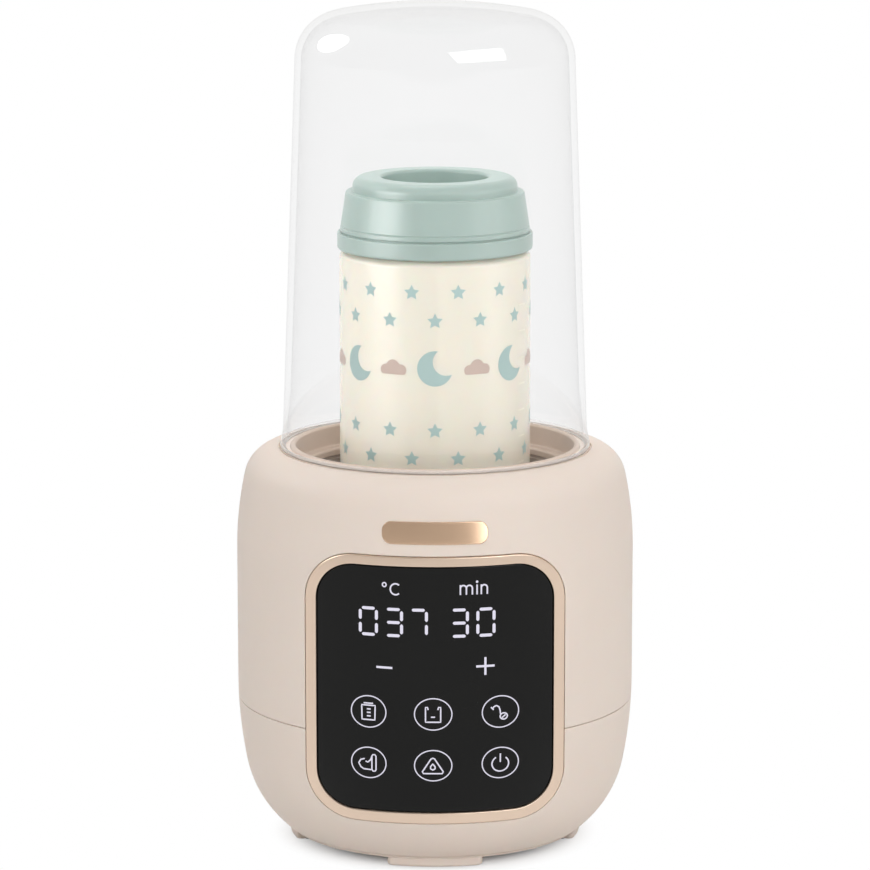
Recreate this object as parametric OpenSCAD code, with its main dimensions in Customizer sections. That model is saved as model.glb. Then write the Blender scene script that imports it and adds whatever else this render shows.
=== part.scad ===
// Bottle and food warmer: a round two-part housing with a touch panel, a heated chamber,
// a clear lift-off dome and a feeding bottle standing in the chamber.
// Millimetres, +Z up, the table is z = 0, the touch panel faces -Y.

/* [Housing] */
// Inside radius of the heating chamber
chamber_r = 44; // [41:0.5:48]
// Radial room between the chamber and the outside of the housing
jacket_w = 24; // [23:0.5:28]
// Wall of both housings
wall = 2.6; // [2.2:0.1:3]
// Height of the bowl's lower edge above the table
base_z = 4.8; // [4.6:0.1:6]
// Height of the bowl, from its lower edge to the straight barrel
bowl_h = 51.2; // [48:0.2:55]
// Arc that turns the bowl under
bowl_r = 37.6; // [35:0.2:40]
// Large arc between the bowl and the barrel
bowl_soft_r = 150; // [130:5:170]
// Sweep of the large bowl arc in degrees
bowl_soft_deg = 11.2; // [10:0.1:12]
// Arc of the shoulder below the flat top
shoulder_r = 11; // [9:0.5:13]
// Large arc between the shoulder and the barrel
shoulder_soft_r = 120; // [100:5:140]
// Sweep of the large shoulder arc in degrees
shoulder_soft_deg = 12.6; // [11:0.1:13.5]
// Height of the seam between the two housings
parting_z = 49.2; // [47:0.2:52]
// Open line at the seam
seam_gap = 0.2; // [0.1:0.05:0.3]
// Tongue of the lower housing inside the upper one
tongue_t = 1.5; // [1.2:0.1:1.8]
// Height of the tongue above the seam
tongue_h = 2.2; // [1.6:0.1:2.4]

/* [Chamber] */
// Height of the chamber's floor above the table
floor_z = 58; // [56:0.5:64]
// Depth of the chamber below the ledge
chamber_depth = 71.5; // [65:0.5:78]
// Wall of the heated cup
cup_t = 1.2; // [0.8:0.1:1.6]
// Floor of the heated cup
cup_floor_t = 1.6; // [1.2:0.1:2]
// Corner radius between the cup's wall and floor
cup_corner = 5; // [3:0.5:7]
// Drop from the housing's flat top to the ledge over the cup
ledge_drop = 6.3; // [5.5:0.1:8]
// Width of the ledge
ledge_w = 3; // [2:0.1:3.4]
// Rise of the rim that locates the dome above the flat top
rim_h = 1.2; // [1.1:0.1:3]
// Thickness of the rim
rim_t = 2; // [1.6:0.1:2.4]
// Thickness of the seal under the ledge
gasket_t = 0.8; // [0.5:0.1:1.2]

/* [Panel] */
// Width of the panel frame
bezel_w = 86.2; // [80:0.2:90]
// Height of the panel frame
bezel_h = 91.8; // [88:0.2:95]
// Height of the frame's lower edge above the bowl's edge
bezel_rise = 14.6; // [12:0.1:16]
// Corner radius of the frame
bezel_corner = 16.5; // [13:0.5:20]
// Face width of the frame
bezel_band = 3.7; // [2.5:0.1:4.5]
// How far the frame stands out of the housing
bezel_proud = 0.4; // [0.2:0.1:0.8]
// Thickness of the touch glass
glass_t = 2; // [1.5:0.1:2.4]
// Depth of the glass below the housing's surface
glass_sink = 0.2; // [0.1:0.1:0.4]
// Clearance around the frame and around the glass
panel_fit = 0.15; // [0.1:0.05:0.25]
// Thickness of the carrier behind the panel
carrier_t = 1.8; // [1.4:0.1:2.2]
// Overlap of the carrier behind the housing wall
carrier_lap = 3; // [2:0.5:3.5]

/* [Dome] */
// Wall of the clear dome
dome_t = 2.2; // [1.8:0.1:2.6]
// Height of the dome above the flat top
dome_h = 151.8; // [140:0.5:165]
// Draft of the dome's wall in degrees
dome_draft = 2.1; // [1.5:0.1:2.4]
// Corner radius at the dome's top
dome_corner = 16.3; // [13:0.5:20]
// Slope of the dome's crown where it meets the corner, in degrees
dome_crown_deg = 10.8; // [8:0.2:13]
// Bead at the dome's foot, standing out from the wall
dome_bead = 1; // [0.6:0.1:1.4]
// Height of the bead
dome_bead_h = 2.4; // [1.8:0.1:3]
// Clearance between the dome and the rim
dome_fit = 0.4; // [0.3:0.05:0.6]

/* [Bottle] */
// Outer radius of the bottle
bottle_r = 32.5; // [30:0.5:36]
// Height of the bottle to its shoulder
bottle_h = 144.9; // [130:0.1:155]
// Wall of the bottle
bottle_t = 1.6; // [1.2:0.1:2]
// Corner radius at the bottle's base
bottle_corner = 5; // [4:0.5:8]
// Step from the bottle's side in to its neck
neck_step = 6.5; // [5.5:0.1:8]
// Height of the neck
neck_h = 15.4; // [13:0.2:17]
// Clearance between the neck and the collar
collar_fit = 0.4; // [0.3:0.05:0.6]
// Thickness of the sealing disc
disc_t = 2.2; // [1.6:0.1:2.6]
// Height of the collar
collar_h = 24.6; // [24:0.2:29]
// Height of the collar's lower grip band
collar_band_h = 5.7; // [5:0.1:8]
// Radius of the opening in the collar's top
collar_hole_r = 18; // [15:0.5:19]

/* [Electrics] */
// Thickness of the circuit boards
board_t = 1.6; // [1:0.1:2]
// Length of the power board
board_l = 58; // [52:1:60]
// Width of the power board
board_w = 50; // [46:1:51]
// Radius of the heater's tube
heater_tube_r = 4; // [3:0.1:4.4]
// Radius of the bore for the mains cord
cord_bore_r = 3.3; // [2.8:0.1:3.8]
// Height of the cord gland above the table
gland_z = 24; // [21:0.5:28]
// Shank radius of the screws
screw_r = 1.4; // [1.2:0.1:1.6]
// Free room around a screw in its hole
screw_fit = 0.3; // [0.2:0.05:0.4]
// Thickness of the rubber foot pads
pad_t = 1.6; // [1.2:0.1:1.8]

/* [Hidden] */
$fn = 128;

// Colours
housing_c = [0.91, 0.86, 0.81];
rubber_c = [0.30, 0.29, 0.28];
rose_gold_c = [0.80, 0.68, 0.58];
black_c = [0.10, 0.10, 0.10];
board_c = [0.15, 0.35, 0.25];
steel_c = [0.72, 0.72, 0.73];
cup_c = [0.55, 0.51, 0.47];
mint_c = [0.72, 0.80, 0.76];
ivory_c = [0.94, 0.92, 0.86];
clear_c = [0.93, 0.95, 0.96, 0.35];
copper_c = [0.78, 0.48, 0.33];

// Small shared clearances
touch_gap = 0.1;
rest_gap = 0.2;
overlap = 0.5;

// Steps of the tight and of the large arcs in the outlines
arc_steps = 12;
soft_steps = 5;

// Housing outline: two tangent arcs at the bowl and two at the shoulder
body_r = chamber_r + jacket_w;
bowl_z = base_z + bowl_h;
bowl_soft_x = body_r - bowl_soft_r;
bowl_x = bowl_soft_x + (bowl_soft_r - bowl_r) * cos(bowl_soft_deg);
bowl_c_z = bowl_z - (bowl_soft_r - bowl_r) * sin(bowl_soft_deg);
ledge_z = floor_z + chamber_depth;
top_z = ledge_z + ledge_drop;
shoulder_soft_x = body_r - shoulder_soft_r;
shoulder_x = shoulder_soft_x + (shoulder_soft_r - shoulder_r) * cos(shoulder_soft_deg);
shoulder_c_z = top_z - shoulder_r;
shoulder_z = shoulder_c_z - (shoulder_soft_r - shoulder_r) * sin(shoulder_soft_deg);
// Radius of the bowl's arc at a height, drawn in by t
function bowl_radius(z, t) = bowl_x + sqrt(pow(bowl_r - t, 2) - pow(bowl_c_z - z, 2));
// Radius of the large arc above it
function soft_bowl_radius(z, t) =
    bowl_soft_x + sqrt(pow(bowl_soft_r - t, 2) - pow(max(bowl_z - z, 0), 2));
// Points of an arc about c from angle a0 to a1, leaving out the first where it joins another arc
function arc(c, r, a0, a1, steps, first = 1) =
    [for (i = [first:steps]) let (a = a0 + (a1 - a0) * i / steps) c + r * [cos(a), sin(a)]];
// Angle of the bowl's arc at the lower edge
function bowl_edge_deg(t) = -asin((bowl_c_z - base_z) / (bowl_r - t));
// Housing outline from the bowl's lower edge to the crest of the shoulder, drawn in by t
function body_outline(t) = concat(
    arc([bowl_x, bowl_c_z], bowl_r - t, bowl_edge_deg(t), -bowl_soft_deg, arc_steps, 0),
    arc([bowl_soft_x, bowl_z], bowl_soft_r - t, -bowl_soft_deg, 0, soft_steps),
    arc([shoulder_soft_x, shoulder_z], shoulder_soft_r - t, 0, shoulder_soft_deg, soft_steps, 0),
    arc([shoulder_x, shoulder_c_z], shoulder_r - t, shoulder_soft_deg, 90, arc_steps));

// Screws
head_r = 2 * screw_r;
head_h = 2;
thread_gap = 0.05;
pilot_r = screw_r + thread_gap;
clear_r = screw_r + screw_fit;
small_step = 0.2;
small_screw_r = screw_r - small_step;
small_pilot_r = small_screw_r + thread_gap;
small_clear_r = small_screw_r + screw_fit;
small_head_r = 2 * small_screw_r;
small_head_h = 1.6;
small_screw_l = 6;
chamber_screw_l = 7;
heater_screw_l = 8;
chassis_screw_l = 12;
base_screw_l = 18;

// Rim, ledge and cup
ledge_clear = 0.6;
ledge_in_r = chamber_r + ledge_clear;
rim_in_r = ledge_in_r + ledge_w;
rim_out_r = rim_in_r + rim_t;
rim_z = top_z + rim_h;
ledge_t = wall;
flange_z = ledge_z - ledge_t - gasket_t;
flange_w = 6;
flange_r = chamber_r + flange_w;
ear_r = 4.5;
boss_r = 3.2;
boss_room = 2.2;
ear_c_r = rim_out_r + boss_r + boss_room;
quarter_angles = [0, 90, 180, 270];
diagonal_angles = [45, 135, 225, 315];

// Posts of the upper housing and the chassis ring screwed to them
post_deg = 38;
post_angles = [-post_deg, post_deg, 180 - post_deg, 180 + post_deg];
post_r = 3.4;
post_room = 3.5;
post_c_r = body_r - wall - post_r - post_room;
post_pilot_l = 12;
rib_t = 2;
chassis_t = 2.4;
tongue_room = 0.4;
post_z = parting_z + tongue_h + tongue_room;
tongue_root = 4;
tongue_out_r = soft_bowl_radius(parting_z, wall) - panel_fit;
tongue_in_r = tongue_out_r - tongue_t;

// Base: cover, feet, and the sleeves that the base screws run into
base_in_r = bowl_radius(base_z, wall);
sleeve_r = 3.4;
sleeve_room = 0.9;
sleeve_c_r = base_in_r - sleeve_r - sleeve_room;
sleeve_land = 2;
cover_t = 2.2;
cover_z = base_z - rest_gap - cover_t;
cover_inset = 0.5;
cover_r = bowl_radius(base_z, 0) - cover_inset;
cover_boss_h = 5.6;
cover_boss_z = cover_z + cover_boss_h;
foot_inset = 2.6;
foot_w = 8.6;
foot_out_r = cover_r - foot_inset;
foot_in_r = foot_out_r - foot_w;
foot_half_deg = 22;
pad_sink = 1;
pad_edge = 1.5;
pad_half_deg = 18;
pad_fit_deg = 0.3;
foot_z = pad_t - pad_sink;

// Panel: frame, glass, carrier and the display board behind it
bezel_z = base_z + bezel_rise + bezel_h / 2;
glass_w = bezel_w - 2 * (bezel_band + panel_fit);
glass_h = bezel_h - 2 * (bezel_band + panel_fit);
glass_corner = bezel_corner - bezel_band - panel_fit;
glass_back = glass_sink + glass_t;
carrier_front = wall + touch_gap;
carrier_back = carrier_front + carrier_t;
display_depth = 18;
display_y = display_depth - body_r;
display_w = 64;
display_drop = 30;
display_bottom = bezel_z - display_drop;
key_x = 22.3;
key_low_drop = 24.6;
key_high_drop = 7;
key_rows = [bezel_z - key_low_drop, bezel_z - key_high_drop];
step_key_x = 17;
step_key_rise = 10;
step_key_z = bezel_z + step_key_rise;
key_points = concat(
    [for (z = key_rows, x = [-key_x, 0, key_x]) [x, z]],
    [[-step_key_x, step_key_z], [step_key_x, step_key_z]]);
spring_r = 3;
spring_room = 0.8;
digits_x = [-28, 24];
digits_rise = [17, 38];
digits_z = [for (rise = digits_rise) bezel_z + rise];
digits_room = 0.5;
display_margin = 2;
display_h = digits_z[1] + display_margin - display_bottom;
display_post_x = 28;
display_post_rise = [-16, 4];
display_post_points = [for (x = [-1, 1], rise = display_post_rise) [x * display_post_x, bezel_z + rise]];
display_post_r = 2.6;
post_skin = 3;

// Heater stack below the cup
cup_bottom = floor_z - cup_floor_t;
plate_room = 1.6;
plate_r = sleeve_c_r - sleeve_r - plate_room;
plate_t = 5;
plate_z = cup_bottom - plate_t;
heater_gap_deg = 30;
clamp_t = 2;
clamp_z = plate_z - heater_tube_r - touch_gap - clamp_t;
clamp_inset = 2;
clamp_r = plate_r - clamp_inset;
sensor_r = 5;
sensor_fit = 0.4;
sensor_flange_t = 2;
sensor_flange_w = 3;
sensor_room = 4.2;
heater_boss_r = 4;
heater_boss_room = 4;
heater_boss_c_r = sensor_r + sensor_flange_w + sensor_room + head_r;
heater_ring_r = heater_boss_c_r + heater_boss_r + heater_boss_room + heater_tube_r;
heater_angles = [30, 150, 270];
heater_pilot_l = 10;
terminal_r = 2;
terminal_drop = 8;
terminal_inset_deg = 8;
terminal_deg = heater_gap_deg / 2 + terminal_inset_deg;
terminal_room = 1;
fuse_r = 2.2;
fuse_l = 14;

// Power board on the bottom cover
standoff_r = 3;
standoff_inset = 4;
standoff_x = board_l / 2 - standoff_inset;
standoff_y = board_w / 2 - standoff_inset;
standoff_h = 7.2;
standoff_skin = 1;
board_z = cover_z + standoff_h;
board_top = board_z + board_t;
board_room = 0.6;
transformer_size = [26, 22, 20];
transformer_at = [-9, -6];
relay_size = [19, 15, 15.5];
relay_at = [15, 9];
terminal_size = [22, 9, 11];
terminal_at = [-8, 14];
capacitor_r = 5;
capacitor_h = 20;
capacitor_at = [10, -5.5];
buzzer_r = 5.5;
buzzer_h = 7;
buzzer_at = [15, -17.5];

// Cord gland in the rear of the bowl
gland_flange_r = 8.2;
gland_flange_t = 2;
gland_neck_r = 6;
gland_boss_land = 1.2;
gland_boss_r = gland_flange_r + gland_boss_land;
gland_sink = 2.2;
gland_face_y = bowl_radius(gland_z, 0) - gland_sink;
gland_boss_t = 4.5;
gland_nut_t = 4;
gland_nut_r = 8.6;
gland_tail = 3.5;
gland_in_y = gland_face_y - gland_boss_t - gland_nut_t - gland_tail;

// Dome: tapered wall, corner arc and crown arc, all tangent
dome_z = top_z + touch_gap;
dome_in_r = rim_out_r + dome_fit;
dome_r = dome_in_r + dome_t;
dome_top_z = top_z + dome_h;
dome_crown_rise = 2.4;
dome_wall_h = dome_h - dome_corner - dome_crown_rise;
dome_wall_r = dome_r - dome_wall_h * tan(dome_draft);
dome_corner_x = dome_wall_r - dome_corner * cos(dome_draft);
crown_r = dome_corner_x / sin(dome_crown_deg) + dome_corner;
crown_c_z = dome_top_z - crown_r;
dome_corner_z = crown_c_z + (crown_r - dome_corner) * cos(dome_crown_deg);
// Dome outline from the top of its wall to the middle of its crown, drawn in by t
function dome_outline(t) = concat(
    arc([dome_corner_x, dome_corner_z], dome_corner - t, dome_draft, 90 - dome_crown_deg, arc_steps, 0),
    arc([0, crown_c_z], crown_r - t, 90 - dome_crown_deg, 90, soft_steps));

// Bottle, sealing disc and collar
bottle_z = floor_z + rest_gap;
bottle_top = bottle_z + bottle_h;
neck_r = bottle_r - neck_step;
neck_top = bottle_top + neck_h;
shoulder_corner = 2.5;
collar_gap = 1.1;
collar_z = bottle_top + collar_gap;
collar_top = collar_z + collar_h;
collar_proud = 0.7;
collar_r = bottle_r + collar_proud;
collar_edge = 1;
collar_groove_h = 0.8;
collar_groove_t = 2.2;
collar_cone_step = 0.9;
collar_cone_taper = 2;
collar_cone_h = 13;
collar_ring_step = 5.2;
collar_ring_corner = 3.6;
disc_z = neck_top + rest_gap;
disc_r = neck_r - rest_gap;
roof_z = disc_z + disc_t + rest_gap;

// Leads to the heater and flat cable to the display
lead_r = 1;
lead_sides = 8;
lead_foot_x = 5;
lead_foot_inset = 2.5;
lead_rise = 12;
lead_drop = 8;
cable_w = 14;
cable_t = 0.8;
cable_inset = 3;
cable_rise = 12;
cable_bend = 6;
cable_lap = 8;

// Places its children at each angle, r out from the axis, turned to face outwards
module polar(angles, r) {
    for (a = angles) {
        rotate(a) translate([r, 0, 0]) children();
    }
}

// Half section of the housing's outside, drawn in by t
module body_section(t = 0) {
    polygon(concat([[0, base_z]], body_outline(t), [[0, top_z - t]]));
}

// Solid of the housing's outside, drawn in by t
module body_solid(t) {
    rotate_extrude() body_section(t);
}

// Shell that follows the housing's outside between two depths
module body_layer(outer, inner) {
    rotate_extrude() difference() {
        body_section(outer);
        body_section(inner);
    }
}

// Rectangle with round corners about the origin
module rounded_rect(w, h, r) {
    square([w, h - 2 * r], center = true);
    square([w - 2 * r, h], center = true);
    for (x = [-1, 1], y = [-1, 1]) {
        translate([x * (w / 2 - r), y * (h / 2 - r)]) circle(r = r);
    }
}

// Prism through the front wall with the panel's outline, grown by g on every side
module panel_prism(w, h, r, g = 0) {
    translate([0, 0, bezel_z]) rotate([90, 0, 0])
        linear_extrude(2 * body_r) rounded_rect(w + 2 * g, h + 2 * g, r + g);
}

// Half section of a round vessel from z0 to z1 with rounded lower and upper corners
module vessel_section(r, z0, z1, low, high) {
    translate([0, z0 + low]) square([r, z1 - z0 - low - high]);
    translate([0, z0]) square([r - low, low]);
    translate([0, z1 - high]) square([r - high, high]);
    intersection() {
        translate([r - low, z0 + low]) circle(r = low);
        translate([r - low, z0]) square([low, low]);
    }
    intersection() {
        translate([r - high, z1 - high]) circle(r = high);
        translate([r - high, z1 - high]) square([high, high]);
    }
}

// Ring about the axis from z up
module ring(outer, inner, z, h) {
    translate([0, 0, z]) difference() {
        cylinder(r = outer, h = h);
        translate([0, 0, -1]) cylinder(r = inner, h = h + 2);
    }
}

// Screw along +Z with its head below z = 0
module screw(r, l, cap_r, cap_h) {
    translate([0, 0, -cap_h / 2]) cylinder(r = r, h = l + cap_h / 2);
    translate([0, 0, -cap_h]) cylinder(r = cap_r, h = cap_h);
}

// Cylinder along -Y from the plane y, at a point of the panel
module panel_pin(p, r, y, l) {
    translate([p[0], y, p[1]]) rotate([90, 0, 0]) cylinder(r = r, h = l);
}

// Box standing on the power board
module board_part(size, at) {
    translate([at[0] - size[0] / 2, at[1] - size[1] / 2, board_top]) cube(size);
}

// Round part standing on the power board
module board_can(r, h, at) {
    translate([at[0], at[1], board_top]) cylinder(r = r, h = h);
}

// Upright barrel with the shoulder, the flat top, the rim for the dome and the ledge over the cup
module upper_housing() {
    color(housing_c) difference() {
        union() {
            rotate_extrude() upper_section();
            intersection() {
                body_solid(wall / 2);
                union() {
                    polar(post_angles, post_c_r) housing_post();
                    polar(quarter_angles, ear_c_r) translate([0, 0, flange_z])
                        cylinder(r = boss_r, h = top_z - flange_z);
                }
            }
        }
        panel_prism(bezel_w, bezel_h, bezel_corner, panel_fit);
        polar(post_angles, post_c_r) translate([0, 0, post_z - 1])
            cylinder(r = pilot_r, h = post_pilot_l + 1);
        polar(quarter_angles, ear_c_r) translate([0, 0, flange_z - 1])
            cylinder(r = pilot_r, h = top_z - wall - flange_z);
    }
}

module upper_section() {
    difference() {
        body_section();
        difference() {
            body_section(wall);
            translate([rim_in_r, ledge_z - ledge_t]) square([rim_t, top_z]);
            translate([ledge_in_r, ledge_z - ledge_t]) square([rim_out_r - ledge_in_r, ledge_t]);
        }
        square([2 * body_r, parting_z + seam_gap]);
        square([ledge_in_r, 2 * top_z]);
        translate([0, ledge_z]) square([rim_in_r, top_z]);
    }
    translate([rim_in_r, top_z - overlap]) square([rim_t, rim_h - rim_t / 2 + overlap]);
    translate([rim_in_r + rim_t / 2, rim_z - rim_t / 2]) circle(d = rim_t);
}

module housing_post() {
    translate([0, 0, post_z]) cylinder(r = post_r, h = top_z - post_z);
    translate([0, -rib_t / 2, post_z]) cube([body_r - post_c_r, rib_t, top_z - post_z]);
}

// Bowl under the barrel, with the tongue at the seam and the seat of the cord gland
module lower_housing() {
    color(housing_c) difference() {
        union() {
            rotate_extrude() lower_section();
            intersection() {
                body_solid(wall / 2);
                translate([0, gland_face_y, gland_z]) rotate([90, 0, 0])
                    cylinder(r = gland_boss_r, h = gland_boss_t);
            }
        }
        panel_prism(bezel_w, bezel_h, bezel_corner, panel_fit);
        intersection() {
            panel_prism(bezel_w, bezel_h, bezel_corner, carrier_lap + 2 * panel_fit);
            body_solid(wall + panel_fit / 2);
        }
        translate([0, gland_face_y, gland_z]) rotate([-90, 0, 0])
            cylinder(r = gland_flange_r + panel_fit, h = body_r);
        translate([0, 0, gland_z]) rotate([-90, 0, 0])
            cylinder(r = gland_neck_r + panel_fit, h = body_r);
    }
}

module lower_section() {
    intersection() {
        difference() {
            body_section();
            body_section(wall);
        }
        square([2 * body_r, parting_z]);
    }
    translate([tongue_in_r, parting_z - tongue_root]) {
        square([tongue_t, tongue_root + tongue_h]);
        square([body_r - wall / 2 - tongue_in_r, tongue_root]);
    }
}

// Round cover that closes the bowl, with four moulded feet, screw bosses and board standoffs
module bottom_cover() {
    color(housing_c) difference() {
        union() {
            translate([0, 0, cover_z]) cylinder(r = cover_r, h = cover_t);
            for (a = quarter_angles) {
                foot_sector(a, foot_half_deg, foot_in_r, foot_out_r, foot_z, cover_z + overlap);
            }
            polar(diagonal_angles, sleeve_c_r) translate([0, 0, cover_z])
                cylinder(r = sleeve_r, h = cover_boss_z - cover_z);
            for (x = [-1, 1], y = [-1, 1]) {
                translate([x * standoff_x, y * standoff_y, cover_z])
                    cylinder(r = standoff_r, h = board_z - cover_z);
            }
        }
        for (a = quarter_angles) {
            foot_sector(a, pad_half_deg, foot_in_r + pad_edge, foot_out_r - pad_edge, -1, pad_t);
        }
        polar(diagonal_angles, sleeve_c_r) {
            cylinder(r = clear_r, h = 2 * cover_boss_z);
            cylinder(r = head_r + screw_fit, h = cover_z + head_h + screw_fit);
        }
        for (x = [-1, 1], y = [-1, 1]) {
            translate([x * standoff_x, y * standoff_y, cover_z + standoff_skin])
                cylinder(r = small_pilot_r, h = board_z);
        }
    }
}

// Sector of a ring about the axis, centred on angle a
module foot_sector(a, half, inner, outer, z0, z1) {
    rotate(a - half) rotate_extrude(angle = 2 * half)
        translate([inner, z0]) square([outer - inner, z1 - z0]);
}

// Rubber pad in the hollow of one foot
module foot_pad(a) {
    edge = pad_edge + panel_fit;
    color(rubber_c)
        foot_sector(a, pad_half_deg - pad_fit_deg, foot_in_r + edge, foot_out_r - edge, 0, pad_t);
}

module foot_pad_front() {
    foot_pad(270);
}

module foot_pad_right() {
    foot_pad(0);
}

module foot_pad_rear() {
    foot_pad(90);
}

module foot_pad_left() {
    foot_pad(180);
}

// Inner ring screwed under the posts, with sleeves that take the base screws
module chassis_ring() {
    color(housing_c) difference() {
        union() {
            translate([0, 0, post_z - chassis_t]) linear_extrude(chassis_t) {
                circle(r = sleeve_c_r + sleeve_r + sleeve_land);
                polar(post_angles, 0) translate([0, -post_r]) square([post_c_r, 2 * post_r]);
                polar(post_angles, post_c_r) circle(r = post_r);
            }
            polar(diagonal_angles, sleeve_c_r) translate([0, 0, cover_boss_z + rest_gap])
                cylinder(r = sleeve_r, h = post_z - cover_boss_z - rest_gap - overlap);
        }
        cylinder(r = sleeve_c_r - sleeve_r - rest_gap, h = top_z);
        polar(post_angles, post_c_r) cylinder(r = clear_r, h = top_z);
        polar(diagonal_angles, sleeve_c_r) cylinder(r = pilot_r, h = post_z - chassis_t);
        for (x = [-1, 1], y = [-1, 1]) {
            translate([x * standoff_x, y * standoff_y, 0])
                cylinder(r = standoff_r + board_room, h = board_top + small_head_h + board_room);
        }
    }
}

// Metal frame around the glass, following the housing's curve
module panel_bezel() {
    color(rose_gold_c) difference() {
        intersection() {
            body_layer(-bezel_proud, wall);
            panel_prism(bezel_w, bezel_h, bezel_corner);
        }
        panel_prism(glass_w, glass_h, glass_corner, panel_fit);
    }
}

// Curved black glass with the display and the touch keys behind it
module touch_panel() {
    color(black_c) intersection() {
        body_layer(glass_sink, glass_back);
        panel_prism(glass_w, glass_h, glass_corner);
    }
}

// Plastic carrier behind the glass, with windows for the digits and the key springs
module panel_carrier() {
    color(black_c) difference() {
        union() {
            intersection() {
                body_layer(carrier_front, carrier_back);
                panel_prism(bezel_w, bezel_h, bezel_corner, carrier_lap);
            }
            intersection() {
                body_solid(carrier_front + carrier_t / 2);
                for (p = display_post_points) {
                    panel_pin(p, display_post_r, display_y - board_t, body_r);
                }
            }
        }
        for (p = key_points) {
            panel_pin(p, spring_r + spring_room, 0, 2 * body_r);
        }
        digits_box(digits_room);
        for (p = display_post_points) {
            panel_pin(p, small_pilot_r, 0, body_r - carrier_back - post_skin);
        }
    }
}

// Block over the digits and their units, grown by g on every side
module digits_box(g = 0) {
    w = digits_x[1] - digits_x[0];
    h = digits_z[1] - digits_z[0];
    translate([digits_x[0] - g, -2 * body_r, digits_z[0] - g])
        cube([w + 2 * g, 2 * body_r + display_y - board_t, h + 2 * g]);
}

// Flat board behind the carrier
module display_board() {
    color(board_c) difference() {
        translate([-display_w / 2, display_y - board_t, display_bottom])
            cube([display_w, board_t, display_h]);
        for (p = display_post_points) {
            panel_pin(p, small_clear_r, 0, body_r);
        }
    }
}

// Lit digit block between the board and the glass
module display_module() {
    color([0.85, 0.85, 0.88]) intersection() {
        body_solid(glass_back + touch_gap);
        digits_box();
    }
}

// Conductive key springs between the board and the glass
module touch_springs() {
    color(steel_c) intersection() {
        body_solid(glass_back + touch_gap);
        for (p = key_points) {
            panel_pin(p, spring_r, display_y - board_t, body_r);
        }
    }
}

// Screws that hold the display board to the carrier
module display_screws() {
    color(steel_c) for (p = display_post_points) {
        translate([p[0], display_y, p[1]]) rotate([90, 0, 0])
            screw(small_screw_r, small_screw_l, small_head_r, small_head_h);
    }
}

// Heated metal cup that hangs by its flange under the ledge
module heating_chamber() {
    color(cup_c) difference() {
        union() {
            rotate_extrude() {
                difference() {
                    vessel_section(chamber_r + cup_t, cup_bottom, flange_z, cup_corner + cup_t, cup_t / 2);
                    vessel_section(chamber_r, floor_z, 2 * flange_z, cup_corner, cup_t);
                }
                translate([chamber_r, flange_z - cup_t]) square([flange_r - chamber_r, cup_t]);
            }
            polar(quarter_angles, 0) translate([0, 0, flange_z - cup_t]) cup_ear();
        }
        polar(quarter_angles, ear_c_r) cylinder(r = clear_r, h = top_z);
    }
}

module cup_ear() {
    x0 = chamber_r + cup_t / 2;
    translate([x0, -ear_r, 0]) cube([ear_c_r - x0, 2 * ear_r, cup_t]);
    translate([ear_c_r, 0, 0]) cylinder(r = ear_r, h = cup_t);
}

// Seal between the ledge and the cup's flange
module chamber_gasket() {
    color(rubber_c) ring(rim_out_r, ledge_in_r, flange_z, gasket_t);
}

// Screws through the cup's ears into the upper housing
module chamber_screws() {
    color(steel_c) polar(quarter_angles, ear_c_r) translate([0, 0, flange_z - cup_t])
        screw(screw_r, chamber_screw_l, head_r, head_h);
}

// Cast plate bonded under the cup, with a groove for the heater and three bosses
module heater_plate() {
    color(steel_c) difference() {
        union() {
            translate([0, 0, plate_z]) cylinder(r = plate_r, h = plate_t);
            polar(heater_angles, heater_boss_c_r) translate([0, 0, clamp_z + clamp_t])
                cylinder(r = heater_boss_r, h = plate_z - clamp_z - clamp_t + overlap);
        }
        translate([0, 0, plate_z]) rotate_extrude() translate([heater_ring_r, 0])
            circle(r = heater_tube_r + touch_gap);
        translate([0, 0, plate_z - plate_t]) cylinder(r = sensor_r + sensor_fit, h = 3 * plate_t);
        polar(heater_angles, heater_boss_c_r) translate([0, 0, clamp_z])
            cylinder(r = pilot_r, h = heater_pilot_l);
    }
}

// Tubular heater: most of a ring, with two terminals turned down
module heating_element() {
    color(copper_c) {
        translate([0, 0, plate_z]) rotate(90 + heater_gap_deg / 2)
            rotate_extrude(angle = 360 - heater_gap_deg)
            translate([heater_ring_r, 0]) circle(r = heater_tube_r);
        heater_ends() translate([0, 0, plate_z - heater_tube_r - terminal_drop])
            cylinder(r = terminal_r, h = terminal_drop + heater_tube_r);
    }
}

// Places its children at both ends of the heater's ring
module heater_ends() {
    for (side = [-1, 1]) {
        rotate(90 + side * terminal_deg) translate([heater_ring_r, 0, 0]) children();
    }
}

// Plate that presses the heater into its groove
module heater_clamp() {
    color(steel_c) difference() {
        translate([0, 0, clamp_z]) cylinder(r = clamp_r, h = clamp_t);
        cylinder(r = sensor_r + sensor_fit, h = top_z);
        polar(heater_angles, heater_boss_c_r) cylinder(r = clear_r, h = top_z);
        heater_ends() cylinder(r = terminal_r + terminal_room, h = top_z);
    }
}

// Screws through the clamp into the heater plate
module heater_screws() {
    color(steel_c) polar(heater_angles, heater_boss_c_r) translate([0, 0, clamp_z])
        screw(screw_r, heater_screw_l, head_r, head_h);
}

// Sensor that reads the cup's floor through the heater plate
module temperature_sensor() {
    color(steel_c) translate([0, 0, clamp_z - sensor_flange_t]) {
        cylinder(r = sensor_r, h = cup_bottom - clamp_z + sensor_flange_t - touch_gap);
        cylinder(r = sensor_r + sensor_flange_w, h = sensor_flange_t);
    }
}

// Cut-out that opens if the heater runs dry, lying under the clamp
module thermal_fuse() {
    color(ivory_c) translate([-fuse_l / 2, -heater_ring_r, clamp_z - fuse_r - touch_gap / 2])
        rotate([0, 90, 0]) cylinder(r = fuse_r, h = fuse_l);
}

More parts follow.
